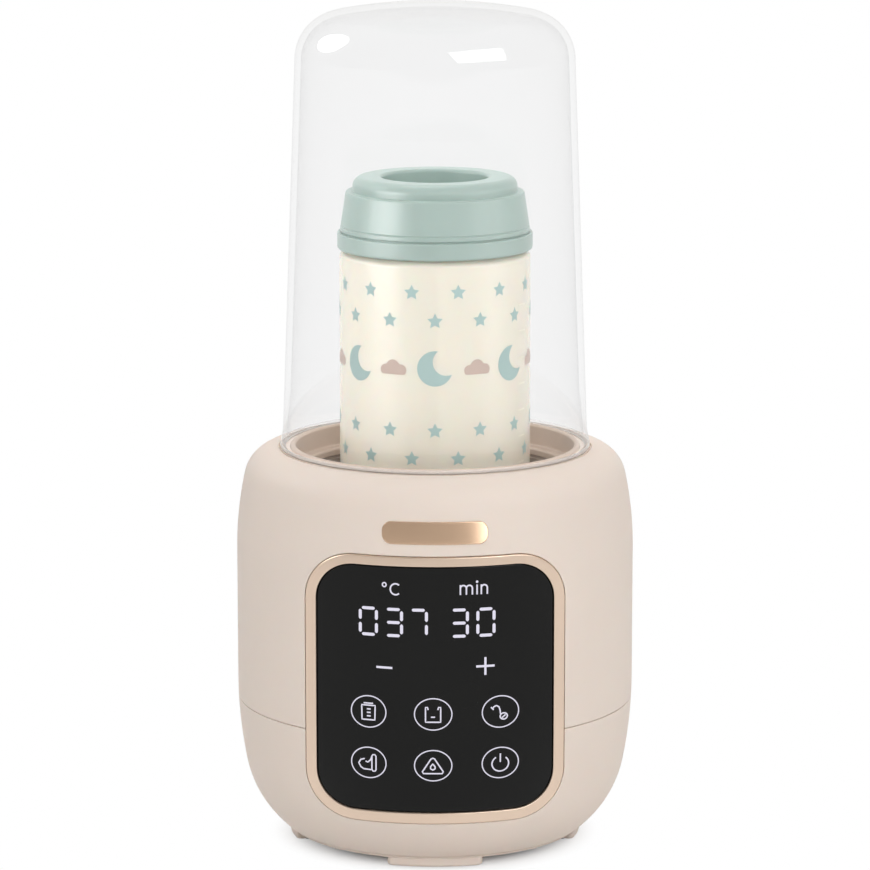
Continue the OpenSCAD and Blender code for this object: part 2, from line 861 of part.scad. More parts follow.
// Power board on the cover's standoffs
module main_board() {
    color(board_c) difference() {
        translate([-board_l / 2, -board_w / 2, board_z]) cube([board_l, board_w, board_t]);
        for (x = [-1, 1], y = [-1, 1]) {
            translate([x * standoff_x, y * standoff_y, 0])
                cylinder(r = small_clear_r, h = top_z);
        }
        polar(diagonal_angles, sleeve_c_r) cylinder(r = sleeve_r + board_room, h = top_z);
    }
}

// Screws that hold the power board
module board_screws() {
    color(steel_c) for (x = [-1, 1], y = [-1, 1]) {
        translate([x * standoff_x, y * standoff_y, board_top]) rotate([180, 0, 0])
            screw(small_screw_r, small_screw_l, small_head_r, small_head_h);
    }
}

module transformer() {
    color([0.75, 0.68, 0.30]) board_part(transformer_size, transformer_at);
}

module relay() {
    color([0.20, 0.35, 0.60]) board_part(relay_size, relay_at);
}

module capacitor() {
    color([0.15, 0.20, 0.30]) board_can(capacitor_r, capacitor_h, capacitor_at);
}

module terminal_block() {
    color([0.25, 0.50, 0.35]) board_part(terminal_size, terminal_at);
}

module buzzer() {
    color(black_c) board_can(buzzer_r, buzzer_h, buzzer_at);
}

// Insulated leads from the power board up to the heater's terminals
module heater_leads() {
    color([0.70, 0.20, 0.18]) for (side = [-1, 1]) {
        end = heater_end_point(side);
        foot = [-side * lead_foot_x, board_w / 2 - lead_foot_inset, board_top + touch_gap];
        tube([foot, foot + [0, 0, lead_rise], end - [0, 0, lead_drop], end - [0, 0, touch_gap]], lead_r);
    }
}

// Lower end of a heater terminal
function heater_end_point(side) =
    let (a = 90 + side * terminal_deg)
    [heater_ring_r * cos(a), heater_ring_r * sin(a), plate_z - heater_tube_r - terminal_drop];

// Round tube along a list of points, one ring of vertices at each
module tube(points, r) {
    n = lead_sides;
    last = len(points) - 1;
    rings = [for (i = [0:last]) tube_ring(points, i, r)];
    verts = [for (each_ring = rings) each each_ring];
    side_faces = [for (i = [0:last - 1], k = [0:n - 1])
        each [[i * n + k, i * n + (k + 1) % n, (i + 1) * n + k],
              [i * n + (k + 1) % n, (i + 1) * n + (k + 1) % n, (i + 1) * n + k]]];
    caps = [[for (k = [0:n - 1]) n - 1 - k], [for (k = [0:n - 1]) last * n + k]];
    polyhedron(points = verts, faces = concat(side_faces, caps));
}

// Ring of vertices square to the route at point i
function tube_ring(points, i, r) =
    let (last = len(points) - 1)
    let (d = points[min(i + 1, last)] - points[max(i - 1, 0)])
    let (t = d / norm(d))
    let (side = cross(t, [1, 0, 0]) / norm(cross(t, [1, 0, 0])))
    let (up = cross(side, t))
    [for (k = [0:lead_sides - 1])
        points[i] + r * (cos(360 * k / lead_sides) * side + sin(360 * k / lead_sides) * up)];

// Flat cable from the power board to the display board
module display_cable() {
    y0 = cable_inset - board_w / 2;
    y1 = display_y + cable_t / 2 + touch_gap;
    z0 = board_top + touch_gap;
    low = [[y0, z0], [y0, z0 + cable_rise]];
    high = [[y1, display_bottom - cable_bend], [y1, display_bottom + cable_lap]];
    route = concat(low, high);
    color([0.80, 0.80, 0.78]) rotate([90, 0, 90]) linear_extrude(cable_w, center = true) {
        for (i = [0:len(route) - 2]) {
            d = route[i + 1] - route[i];
            translate(route[i]) rotate(atan2(d[1], d[0])) translate([0, -cable_t / 2])
                square([norm(d), cable_t]);
        }
        for (i = [1:len(route) - 2]) {
            translate(route[i]) circle(d = cable_t);
        }
    }
}

// Bushing for the mains cord in the rear of the bowl
module cord_gland() {
    color(black_c) translate([0, 0, gland_z]) rotate([-90, 0, 0]) difference() {
        union() {
            translate([0, 0, gland_in_y])
                cylinder(r = gland_neck_r, h = gland_face_y - gland_in_y + overlap);
            translate([0, 0, gland_face_y]) cylinder(r = gland_flange_r, h = gland_flange_t);
        }
        translate([0, 0, gland_in_y - 1]) cylinder(r = cord_bore_r, h = body_r);
    }
}

// Nut that holds the gland from inside
module gland_nut() {
    y0 = gland_face_y - gland_boss_t - gland_nut_t - touch_gap;
    color(black_c) translate([0, y0, gland_z]) rotate([-90, 0, 0]) difference() {
        cylinder(r = gland_nut_r, h = gland_nut_t, $fn = 6);
        translate([0, 0, -1]) cylinder(r = gland_neck_r + thread_gap, h = gland_nut_t + 2);
    }
}

// Screws that hold the chassis ring to the posts
module chassis_screws() {
    color(steel_c) polar(post_angles, post_c_r) translate([0, 0, post_z - chassis_t])
        screw(screw_r, chassis_screw_l, head_r, head_h);
}

// Long screws from below the cover into the sleeves
module base_screws() {
    color(steel_c) polar(diagonal_angles, sleeve_c_r) translate([0, 0, cover_z + head_h + screw_fit])
        screw(screw_r, base_screw_l, head_r, head_h);
}

// Clear dome that stands around the rim
module dome_cover() {
    color(clear_c) rotate_extrude() {
        difference() {
            dome_section(0);
            dome_section(dome_t);
        }
        bead_x = dome_r + dome_bead - dome_bead_h / 2;
        translate([dome_in_r, dome_z]) square([bead_x - dome_in_r, dome_bead_h]);
        intersection() {
            translate([bead_x, dome_z + dome_bead_h / 2]) circle(d = dome_bead_h);
            translate([dome_in_r, dome_z]) square([2 * dome_t, dome_bead_h]);
        }
    }
}

// Half section of the dome's outside, drawn in by t
module dome_section(t) {
    polygon(concat([[0, dome_z], [dome_r - t, dome_z]], dome_outline(t)));
}

// Feeding bottle standing on the cup's floor
module bottle_body() {
    color(ivory_c) rotate_extrude() difference() {
        union() {
            vessel_section(bottle_r, bottle_z, bottle_top, bottle_corner, shoulder_corner);
            translate([0, bottle_top - overlap]) square([neck_r, neck_h + overlap]);
        }
        vessel_section(bottle_r - bottle_t, bottle_z + bottle_t, bottle_top - bottle_t,
            bottle_corner - bottle_t, shoulder_corner - bottle_t / 2);
        translate([0, bottle_top - 2 * bottle_t]) square([neck_r - bottle_t, neck_h + 3 * bottle_t]);
    }
}

// Disc that closes the neck under the collar
module sealing_disc() {
    color(mint_c) translate([0, 0, disc_z]) cylinder(r = disc_r, h = disc_t);
}

// Screw collar with a grip band, a tapered band and a rounded top ring
module bottle_collar() {
    color(mint_c) rotate_extrude() difference() {
        union() {
            vessel_section(collar_r, collar_z, collar_z + collar_band_h, collar_edge, collar_edge);
            translate([0, collar_z + collar_band_h - overlap])
                square([collar_r - collar_groove_t, collar_groove_h + 2 * overlap]);
            collar_cone_section();
            vessel_section(collar_r - collar_ring_step, collar_z + collar_band_h, collar_top,
                collar_edge, collar_ring_corner);
        }
        translate([0, collar_z - 1]) square([neck_r + collar_fit, roof_z - collar_z + 1]);
        square([collar_hole_r, 2 * collar_top]);
    }
}

module collar_cone_section() {
    z0 = collar_z + collar_band_h + collar_groove_h;
    z1 = z0 + collar_cone_h;
    low_r = collar_r - collar_cone_step;
    high_r = low_r - collar_cone_taper;
    polygon([[0, z0], [low_r, z0], [high_r, z1 - collar_edge], [high_r - collar_edge, z1], [0, z1]]);
}

upper_housing();
lower_housing();
bottom_cover();
foot_pad_front();
foot_pad_right();
foot_pad_rear();
foot_pad_left();
chassis_ring();
panel_bezel();
touch_panel();
panel_carrier();
display_board();
display_module();
touch_springs();
display_screws();
heating_chamber();
chamber_gasket();
chamber_screws();
heater_plate();
heating_element();
heater_clamp();
heater_screws();
temperature_sensor();
thermal_fuse();
main_board();
board_screws();
transformer();
relay();
capacitor();
terminal_block();
buzzer();
heater_leads();
display_cable();
cord_gland();
gland_nut();
chassis_screws();
base_screws();
dome_cover();
bottle_body();
sealing_disc();
bottle_collar();
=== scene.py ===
from math import acos, atan2, ceil, cos, degrees, hypot, pi, radians, sin, sqrt, tan

import bmesh
import bpy
from mathutils import Matrix, Vector


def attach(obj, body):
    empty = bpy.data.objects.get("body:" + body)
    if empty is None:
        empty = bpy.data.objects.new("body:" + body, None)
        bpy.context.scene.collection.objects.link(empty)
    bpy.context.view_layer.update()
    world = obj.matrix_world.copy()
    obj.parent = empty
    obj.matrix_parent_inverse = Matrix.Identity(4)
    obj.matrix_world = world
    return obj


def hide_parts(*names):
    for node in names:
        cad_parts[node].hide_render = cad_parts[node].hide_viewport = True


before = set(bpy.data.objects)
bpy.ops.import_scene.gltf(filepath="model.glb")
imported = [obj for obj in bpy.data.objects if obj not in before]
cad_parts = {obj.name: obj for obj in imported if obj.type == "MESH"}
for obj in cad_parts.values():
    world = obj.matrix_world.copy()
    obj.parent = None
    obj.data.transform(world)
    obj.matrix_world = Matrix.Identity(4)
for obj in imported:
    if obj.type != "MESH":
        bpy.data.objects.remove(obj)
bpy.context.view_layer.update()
studio = bpy.context.scene
studio.view_settings.view_transform = "Standard"

# ---- Studio -------------------------------------------------------------------------------------
# A white product set: a long lens a little above the warmer, pale paper in a white surround, and
# softboxes in front, overhead and at the left rear. Flags keep the strips and the edge lamps on the
# bottle and its collar, and a small card on the trim plate.

SENSOR_W, LENS, CAMERA_AT, CAMERA_TILT = 36.0, 178.3, (0.0, -1.450, 0.4134), radians(79.3)
camera_data = bpy.data.cameras.new("camera")
camera_data.sensor_width, camera_data.lens = SENSOR_W, LENS
camera = bpy.data.objects.new("camera", camera_data)
camera.location, camera.rotation_euler = CAMERA_AT, (CAMERA_TILT, 0.0, 0.0)
studio.collection.objects.link(camera)
studio.camera = camera


def add_node(tree, kind, sockets=None, **settings):
    """Add a node, set its settings, and link or set its sockets by name or number."""
    made = tree.nodes.new(kind)
    for key, value in settings.items():
        setattr(made, key, value)
    for key, value in (sockets or {}).items():
        if isinstance(value, bpy.types.NodeSocket):
            tree.links.new(value, made.inputs[key])
        else:
            made.inputs[key].default_value = value
    return made


def maths(tree, operation, a, b):
    """One step of arithmetic in a node tree."""
    return add_node(tree, "ShaderNodeMath", {0: a, 1: b}, operation=operation).outputs[0]


def mapped(tree, value, to, over=(0.0, 1.0), easing="LINEAR"):
    """A value brought from the range over to the range to."""
    ends = {"Value": value, "From Min": over[0], "From Max": over[1], "To Min": to[0], "To Max": to[1]}
    return add_node(tree, "ShaderNodeMapRange", ends, interpolation_type=easing).outputs["Result"]


def seen_directly(tree, *rays):
    """1 for the light path's named rays, 0 for the rest."""
    path = add_node(tree, "ShaderNodeLightPath").outputs
    total = path[rays[0]]
    for ray in rays[1:]:
        total = maths(tree, "MAXIMUM", total, path[ray])
    return total


# Metres from the axis: the paper keeps the shadow close to the foot, and is plain white further out
PAPER_REACH, PAPER_FADE, PAPER_GLOSS = 9.0, (0.036, 0.058), 0.86
PAPER_ROUGH, PAPER_SHINE, PAPER_STEPS = 0.9, 0.1, 96
PAPER_TONES, FIBRE_SCALE = ((0.90, 0.90, 0.895, 1), (0.93, 0.93, 0.925, 1)), 900.0

paper = bpy.data.materials.new("studio_paper")
paper.use_nodes = True
tree = paper.node_tree
sheet = tree.nodes["Principled BSDF"]
sheet.inputs["Roughness"].default_value = PAPER_ROUGH
sheet.inputs["Specular IOR Level"].default_value = PAPER_SHINE
where = add_node(tree, "ShaderNodeTexCoord").outputs["Object"]
fibre = add_node(tree, "ShaderNodeTexNoise", {"Vector": where, "Scale": FIBRE_SCALE, "Detail": 4.0})
fibre_tone = add_node(tree, "ShaderNodeValToRGB", {"Fac": fibre.outputs["Fac"]})
for stop, tone in zip(fibre_tone.color_ramp.elements, PAPER_TONES):
    stop.color = tone
tree.links.new(fibre_tone.outputs["Color"], sheet.inputs["Base Color"])
reach = add_node(tree, "ShaderNodeVectorMath", {0: where}, operation="LENGTH").outputs["Value"]
fade = mapped(tree, reach, (0.0, 1.0), PAPER_FADE, "SMOOTHSTEP")
direct = seen_directly(tree, "Is Camera Ray", "Is Transmission Ray", "Is Glossy Ray")
white_share = maths(tree, "MULTIPLY", fade, direct)
through = seen_directly(tree, "Is Camera Ray", "Is Transmission Ray")
white = add_node(tree, "ShaderNodeEmission", {"Strength": mapped(tree, through, (PAPER_GLOSS, 1.0))})
both = add_node(tree, "ShaderNodeMixShader",
                {0: white_share, 1: sheet.outputs["BSDF"], 2: white.outputs["Emission"]})
tree.links.new(both.outputs["Shader"], tree.nodes["Material Output"].inputs["Surface"])

bm = bmesh.new()
bmesh.ops.create_circle(bm, cap_ends=True, segments=PAPER_STEPS, radius=PAPER_REACH)
floor_mesh = bpy.data.meshes.new("studio_floor")
bm.to_mesh(floor_mesh)
bm.free()
floor_mesh.materials.append(paper)
floor = bpy.data.objects.new("studio_floor", floor_mesh)
studio.collection.objects.link(floor)

# Strength in front and behind: as light, and as seen in gloss
SURROUND, GLOSS_SURROUND, SURROUND_SPAN = (0.34, 0.90), (0.245, 0.86), (-0.5, 0.6)
SURROUND_TONE = (1.0, 0.995, 0.985, 1)
world = bpy.data.worlds.new("white_surround")
world.use_nodes = True
studio.world = world
tree = world.node_tree
soft = tree.nodes["Background"]
soft.inputs["Color"].default_value = SURROUND_TONE
towards = add_node(tree, "ShaderNodeTexCoord").outputs["Generated"]
depth = add_node(tree, "ShaderNodeSeparateXYZ", {0: towards}).outputs["Y"]
levels = [mapped(tree, depth, ends, SURROUND_SPAN, "SMOOTHSTEP") for ends in (SURROUND, GLOSS_SURROUND)]
tree.links.new(mapped(tree, seen_directly(tree, "Is Glossy Ray"), levels), soft.inputs["Strength"])
bright = add_node(tree, "ShaderNodeBackground", {"Color": (1, 1, 1, 1), "Strength": 1.0})
both = add_node(tree, "ShaderNodeMixShader", {
    0: seen_directly(tree, "Is Camera Ray", "Is Transmission Ray"),
    1: soft.outputs["Background"], 2: bright.outputs["Background"]})
tree.links.new(both.outputs["Shader"], tree.nodes["World Output"].inputs["Surface"])


def soft_lamp(name, at, size, watts, shape="RECTANGLE", lights=True, shines=True, only=None):
    """A softbox aimed at the warmer from outside the picture: it lights, shines in gloss, or both.
    A flagged one reaches only the pieces of one collection."""
    data = bpy.data.lights.new(name, "AREA")
    data.energy = watts
    data.shape = shape
    data.size, data.size_y = size
    lamp = bpy.data.objects.new(name, data)
    lamp.location = at
    lamp.rotation_euler = (LAMP_AIM - Vector(at)).to_track_quat("-Z", "Y").to_euler()
    lamp.visible_camera = False
    lamp.visible_transmission = False
    lamp.visible_diffuse = lights
    lamp.visible_glossy = shines
    if only:
        lamp.light_linking.receiver_collection = only
    studio.collection.objects.link(lamp)


LAMP_AIM = Vector((0.0, 0.0, 0.18))
strip_lit = bpy.data.collections.new("strip_lit")
card_lit = bpy.data.collections.new("card_lit")
soft_lamp("main_softbox", (0.25, -1.60, 1.15), (0.90, 0.90), 14.0, shines=False)
soft_lamp("overhead_softbox", (0.0, 0.10, 1.75), (1.10, 1.10), 5.5, shines=False)
soft_lamp("left_strip", (-1.26, -0.61, 0.35), (1.00, 0.65), 27.0, lights=False, only=strip_lit)
soft_lamp("right_strip", (1.30, -0.42, 0.35), (0.70, 0.65), 18.0, lights=False, only=strip_lit)
soft_lamp("left_edge", (-1.10, 0.25, 0.50), (0.60, 0.80), 4.0, only=strip_lit)
soft_lamp("top_strip", (-0.30, 0.60, 1.50), (1.20, 0.60), 14.0, lights=False, only=strip_lit)
soft_lamp("right_edge", (1.10, 0.25, 0.50), (0.60, 0.80), 2.2, only=strip_lit)
soft_lamp("front_softbox", (0.92, -1.10, 1.10), (1.30, 0.80), 17.0, lights=False)
soft_lamp("right_card", (0.78, -1.30, 0.30), (0.20, 0.60), 2.5, lights=False, only=card_lit)
soft_lamp("round_softbox", (-1.20, 0.45, 1.00), (0.80, 0.80), 9.0, "DISK", lights=False)

# ---- Bottom cover and feet ----------------------------------------------------------------------
# One moulding in the housing's pink-beige plastic: a round plate stepped into the bowl, with four
# low feet hollowed for rubber pads. Four screws go up through its bosses into the chassis ring.

MM = 0.001
AXIS_R, WELD, SLIVER, ARC_STEP_DEG, SHARP_DEG = 1e-6, 1e-7, 0.004 * MM, 9.0, 38.0
DRIFT_SCALE, DRIFT_SPAN, GLOSS_SPAN, GRAIN_BUMP = 24.0, (0.3, 0.7), (0.9, 1.1), 0.35
COVER_R, COVER_Z, COVER_EDGE_TOP, COVER_STEP_R, COVER_TOP = 50.4, 3.5, 4.6, 47.0, 5.8
# Blocks bent around the base: radius, width, length, corner
FOOT, PAD, PAD_HOLLOW = (45.5, 9.4, 30.8, 2.2), (44.34, 5.3, 27.6, 2.35), (44.34, 5.6, 27.9, 2.35)
FOOT_Z, FOOT_EDGE, PAD_TOP = 0.6, 0.9, 1.6
HEAD_BOSS_R, HEAD_BOSS_Z, POST_ROOT = 5.2, 2.4, 4.5
SLEEVE_C_R, SLEEVE_R, SLEEVE_TOP = 43.0, 3.4, 8.0
HEAD_WELL_LOW, HEAD_WELL_R, HEAD_WELL_TOP, SCREW_WAY_R, SCREW_WAY_TOP = 1.0, 3.15, 4.55, 1.65, 9.0
BOARD_POST_X, BOARD_POST_Y, BOARD_POST_R, BOARD_POST_TOP = 27.0, 20.0, 3.0, 9.6


def srgb(r, g, b):
    """A colour given from 0 to 255, as the linear colour that the shader takes."""
    parts = [c / 255 for c in (r, g, b)]
    return tuple(c / 12.92 if c <= 0.04045 else ((c + 0.055) / 1.055) ** 2.4 for c in parts) + (1.0,)


def shaded(colour, factor):
    """The same colour made lighter or darker."""
    return tuple(min(c * factor, 1.0) for c in colour[:3]) + (1.0,)


def moulded_finish(name, colour, gloss, drift=0.03, grain=0.35, depth=0.004, stretch=(1, 1, 1), **shader):
    """A moulded or cast surface on Object coordinates: slow colour drift, uneven gloss, fine grain."""
    material = bpy.data.materials.new(name)
    material.use_nodes = True
    tree = material.node_tree
    surface = tree.nodes["Principled BSDF"]
    place = add_node(tree, "ShaderNodeTexCoord").outputs["Object"]
    laid = add_node(tree, "ShaderNodeMapping", {"Vector": place, "Scale": stretch}).outputs["Vector"]
    noise = {"Vector": place, "Scale": DRIFT_SCALE, "Detail": 3.0}
    slow = add_node(tree, "ShaderNodeTexNoise", noise).outputs["Fac"]
    noise = {"Vector": laid, "Scale": 1.0 / (grain * MM), "Detail": 2.0}
    fine = add_node(tree, "ShaderNodeTexNoise", noise).outputs["Fac"]
    tone = add_node(tree, "ShaderNodeValToRGB", {"Fac": slow})
    for stop, at, share in zip(tone.color_ramp.elements, DRIFT_SPAN, (1 - drift, 1 + drift)):
        stop.position, stop.color = at, shaded(colour, share)
    dull = mapped(tree, slow, [gloss * share for share in GLOSS_SPAN], DRIFT_SPAN)
    relief = add_node(tree, "ShaderNodeBump",
                      {"Height": fine, "Strength": GRAIN_BUMP, "Distance": depth * MM})
    tree.links.new(tone.outputs["Color"], surface.inputs["Base Color"])
    tree.links.new(dull, surface.inputs["Roughness"])
    tree.links.new(relief.outputs["Normal"], surface.inputs["Normal"])
    for socket, value in shader.items():
        surface.inputs[socket.replace("_", " ")].default_value = value
    return material


def turned(bm, outline, segments, at=(0.0, 0.0)):
    """Turn an (r, z) outline about an upright axis; a point on the axis becomes a closed pole."""
    rings = []
    for r, z in outline:
        turns = segments if r > AXIS_R else 1
        angles = [2 * pi * i / turns for i in range(turns)]
        rings.append([bm.verts.new((at[0] + r * cos(a), at[1] + r * sin(a), z)) for a in angles])
    for low, high in zip(rings, rings[1:]):
        for i in range(segments):
            j = (i + 1) % segments
            corners = (low[i % len(low)], low[j % len(low)], high[j % len(high)], high[i % len(high)])
            corners = list(dict.fromkeys(corners))
            if len(corners) > 2:
                bm.faces.new(corners)


def rounded(corners, closed=True):
    """The outline through (r, z, edge) corners, with each edge rounded by an arc of that radius."""
    outline = []
    for k, (r, z, edge) in enumerate(corners):
        if not edge:
            outline.append((r, z))
            continue
        here = Vector((r, z))
        back = (Vector(corners[k - 1][:2]) - here).normalized()
        on = (Vector(corners[(k + 1) % len(corners)][:2]) - here).normalized()
        half = acos(max(-1.0, min(1.0, back.dot(on)))) / 2
        centre = here + (back + on).normalized() * (edge / sin(half))
        start = here + back * (edge / tan(half)) - centre
        end = here + on * (edge / tan(half)) - centre
        first = atan2(start.y, start.x)
        sweep = (atan2(end.y, end.x) - first + pi) % (2 * pi) - pi
        count = max(2, ceil(degrees(abs(sweep)) / ARC_STEP_DEG))
        for i in range(count + 1):
            a = first + sweep * i / count
            outline.append((centre.x + edge * cos(a), centre.y + edge * sin(a)))
    return outline + outline[:1] if closed else outline


def lofted(bm, loops, capped=True):
    """Skin a row of closed loops with equal point counts; cap both ends, or join them into a band."""
    rows = [[bm.verts.new(p) for p in loop] for loop in loops]
    count = len(rows[0])
    pairs = list(zip(rows, rows[1:])) + ([] if capped else [(rows[-1], rows[0])])
    for low, high in pairs:
        for i in range(count):
            j = (i + 1) % count
            bm.faces.new((low[i], low[j], high[j], high[i]))
    if capped:
        bm.faces.new(rows[0])
        bm.faces.new(rows[-1])


def round_box(width, height, corner, long_steps, corner_steps):
    """Points around a rectangle with round corners, counter-clockwise from the lower right."""
    points = []
    for quarter, (sx, sy) in enumerate(((1, -1), (1, 1), (-1, 1), (-1, -1))):
        cx, cy = sx * (width / 2 - corner), sy * (height / 2 - corner)
        for i in range(corner_steps + 1):
            a = radians(-90 + 90 * quarter + 90 * i / corner_steps)
            points.append((cx + corner * cos(a), cy + corner * sin(a)))
    outline = []
    for k, here in enumerate(points):
        outline.append(here)
        if k % (corner_steps + 1) == corner_steps:
            on = points[(k + 1) % len(points)]
            for i in range(1, long_steps):
                outline.append(tuple(here[c] + (on[c] - here[c]) * i / long_steps for c in range(2)))
    return outline


def mesh_piece(bm, name):
    """Close a mesh: to metres, doubles merged, normals out; returns the object, not yet in the frame."""
    bmesh.ops.scale(bm, vec=(MM, MM, MM), verts=bm.verts)
    bmesh.ops.remove_doubles(bm, verts=bm.verts, dist=WELD)
    bmesh.ops.recalc_face_normals(bm, faces=bm.faces)
    mesh = bpy.data.meshes.new(name)
    bm.to_mesh(mesh)
    bm.free()
    piece = bpy.data.objects.new(name, mesh)
    studio.collection.objects.link(piece)
    return piece


def turned_piece(name, outline, segments=192, at=(0.0, 0.0), laid=None):
    """One turned shape as an object; the matrix laid, if any, lays its axis over."""
    bm = bmesh.new()
    turned(bm, outline, segments, at)
    if laid:
        bmesh.ops.transform(bm, matrix=laid, verts=bm.verts)
    return mesh_piece(bm, name)


def lofted_piece(name, loops, capped=True):
    """One skinned row of loops as an object."""
    bm = bmesh.new()
    lofted(bm, loops, capped)
    return mesh_piece(bm, name)


def bake_modifiers(piece):
    """Turn a piece's modifiers into its plain mesh."""
    graph = bpy.context.evaluated_depsgraph_get()
    mesh = bpy.data.meshes.new_from_object(piece.evaluated_get(graph))
    piece.modifiers.clear()
    old = piece.data
    piece.data = mesh
    mesh.name = piece.name
    bpy.data.meshes.remove(old)


def carve(piece, tool, operation):
    """Join, cut or trim a piece with a tool shape, drop the tool, and clear the slivers it leaves."""
    cut = piece.modifiers.new(operation.lower(), "BOOLEAN")
    cut.operation, cut.object, cut.solver = operation, tool, "EXACT"
    bake_modifiers(piece)
    bpy.data.objects.remove(tool)
    bm = bmesh.new()
    bm.from_mesh(piece.data)
    bmesh.ops.remove_doubles(bm, verts=bm.verts, dist=SLIVER)
    bmesh.ops.dissolve_degenerate(bm, edges=bm.edges, dist=SLIVER)
    bmesh.ops.triangulate(bm, faces=[f for f in bm.faces if len(f.verts) > 4])
    bm.to_mesh(piece.data)
    bm.free()


def settle(piece, finish, body, slot, *nodes):
    """Give a piece its shading and finish, and put it in the frame."""
    mesh = piece.data
    finishes = finish if isinstance(finish, (list, tuple)) else [finish]
    mesh.materials.clear()
    for each in finishes:
        mesh.materials.append(each)
    mesh.shade_smooth()
    mesh.set_sharp_from_angle(angle=radians(SHARP_DEG))
    even = piece.modifiers.new("even_shading", "WEIGHTED_NORMAL")
    even.keep_sharp = True
    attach(piece, body)
    if nodes:
        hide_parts(*nodes)


def eased(edge, leans=(30, 60, 90)):
    """The (inset, drop) steps around a quarter-round edge, from its wall to its face."""
    return [(edge * (1 - cos(radians(a))), edge * (1 - sin(radians(a)))) for a in leans]


def foot_loop(block, inset, angle, z):
    """The plan of a block that is bent around the base, drawn in by inset."""
    r, width, length, corner = block
    loop = []
    for along, across in round_box(length - 2 * inset, width - 2 * inset, corner - inset, 8, 6):
        a = angle + along / r
        loop.append(((r + across) * cos(a), (r + across) * sin(a), z))
    return loop


def ring_spots(r, *angles):
    """Spots on a circle about the axis, by their angles in degrees."""
    return [(r * cos(radians(a)), r * sin(radians(a))) for a in angles]


housing_plastic = moulded_finish("pink_beige_plastic", srgb(236, 222, 211), 0.6, drift=0.012, depth=0.006,
                                 Specular_IOR_Level=0.3, Subsurface_Weight=0.08, Subsurface_Scale=0.002)

cover = turned_piece("bottom_cover_moulding", rounded([
    (COVER_R, COVER_Z, 0.4), (COVER_R, COVER_EDGE_TOP, 0.2), (COVER_STEP_R, COVER_EDGE_TOP, 0),
    (COVER_STEP_R, COVER_TOP, 0.4), (0, COVER_TOP, 0), (0, COVER_Z, 0)]))

foot_rows = [(0, COVER_EDGE_TOP), (0, FOOT_Z + FOOT_EDGE)]
foot_rows += [(inset, FOOT_Z + drop) for inset, drop in eased(FOOT_EDGE)]
bm = bmesh.new()
for angle in (0, pi / 2, pi, -pi / 2):
    walls = [foot_loop(FOOT, inset, angle, z) for inset, z in foot_rows]
    lofted(bm, walls + [foot_loop(PAD_HOLLOW, 0, angle, z) for z in (FOOT_Z, PAD_TOP)])
carve(cover, mesh_piece(bm, "feet"), "UNION")

diagonals = ring_spots(SLEEVE_C_R, 45, 135, 225, 315)
board_posts = [(x * BOARD_POST_X, y * BOARD_POST_Y) for x in (-1, 1) for y in (-1, 1)]
sleeve = rounded([(0, HEAD_BOSS_Z, 0), (HEAD_BOSS_R, HEAD_BOSS_Z, 0.6), (HEAD_BOSS_R, POST_ROOT, 0),
                  (SLEEVE_R, POST_ROOT, 0), (SLEEVE_R, SLEEVE_TOP, 0), (0, SLEEVE_TOP, 0)], closed=False)
board_post = [(0, POST_ROOT), (BOARD_POST_R, POST_ROOT), (BOARD_POST_R, BOARD_POST_TOP), (0, BOARD_POST_TOP)]
bm = bmesh.new()
for outline, segments, spots in ((sleeve, 48, diagonals), (board_post, 40, board_posts)):
    for spot in spots:
        turned(bm, outline, segments, spot)
carve(cover, mesh_piece(bm, "posts"), "UNION")

bm = bmesh.new()
for spot in diagonals:
    turned(bm, [(0, HEAD_WELL_LOW), (HEAD_WELL_R, HEAD_WELL_LOW), (HEAD_WELL_R, HEAD_WELL_TOP),
                (SCREW_WAY_R, HEAD_WELL_TOP), (SCREW_WAY_R, SCREW_WAY_TOP), (0, SCREW_WAY_TOP)], 40, spot)
carve(cover, mesh_piece(bm, "screw_wells"), "DIFFERENCE")
settle(cover, housing_plastic, "warmer", "housing_plastic", "bottom_cover")

# ---- Foot pads and base screws ------------------------------------------------------------------
# Four soft grey rubber pads glued into the feet, and four cross-head steel screws sunk beside them.
# Both repeat around the upright axis, so one Geometry Nodes tree sets out either kind.

around_axis = bpy.data.node_groups.new("around_axis", "GeometryNodeTree")
for label, kind in (("Part", "NodeSocketObject"), ("Count", "NodeSocketInt"), ("Rows", "NodeSocketInt"),
                    ("Row Pitch", "NodeSocketFloat"), ("First Angle", "NodeSocketFloat"),
                    ("Row Turn", "NodeSocketFloat"), ("Finish", "NodeSocketMaterial")):
    around_axis.interface.new_socket(label, in_out="INPUT", socket_type=kind)
around_axis.interface.new_socket("Geometry", in_out="OUTPUT", socket_type="NodeSocketGeometry")
tree = around_axis
given = add_node(tree, "NodeGroupInput").outputs
total = maths(tree, "MULTIPLY", given["Count"], given["Rows"])
spots = add_node(tree, "GeometryNodePoints", {"Count": total})
index = add_node(tree, "GeometryNodeInputIndex").outputs[0]
row = maths(tree, "FLOOR", maths(tree, "DIVIDE", maths(tree, "ADD", index, 0.5), given["Count"]), 0.0)
turn = maths(tree, "MULTIPLY", index, maths(tree, "DIVIDE", 2 * pi, given["Count"]))
turn = maths(tree, "ADD", turn, maths(tree, "MULTIPLY", row, given["Row Turn"]))
turn = maths(tree, "ADD", turn, given["First Angle"])
lift = add_node(tree, "ShaderNodeCombineXYZ", {"Z": maths(tree, "MULTIPLY", row, given["Row Pitch"])})
placed = add_node(tree, "GeometryNodeSetPosition",
                  {"Geometry": spots.outputs[0], "Offset": lift.outputs[0]})
part = add_node(tree, "GeometryNodeObjectInfo", {"Object": given["Part"]})
turn_z = add_node(tree, "ShaderNodeCombineXYZ", {"Z": turn})
set_out = add_node(tree, "GeometryNodeInstanceOnPoints", {
    "Points": placed.outputs[0], "Instance": part.outputs["Geometry"], "Rotation": turn_z.outputs[0]})
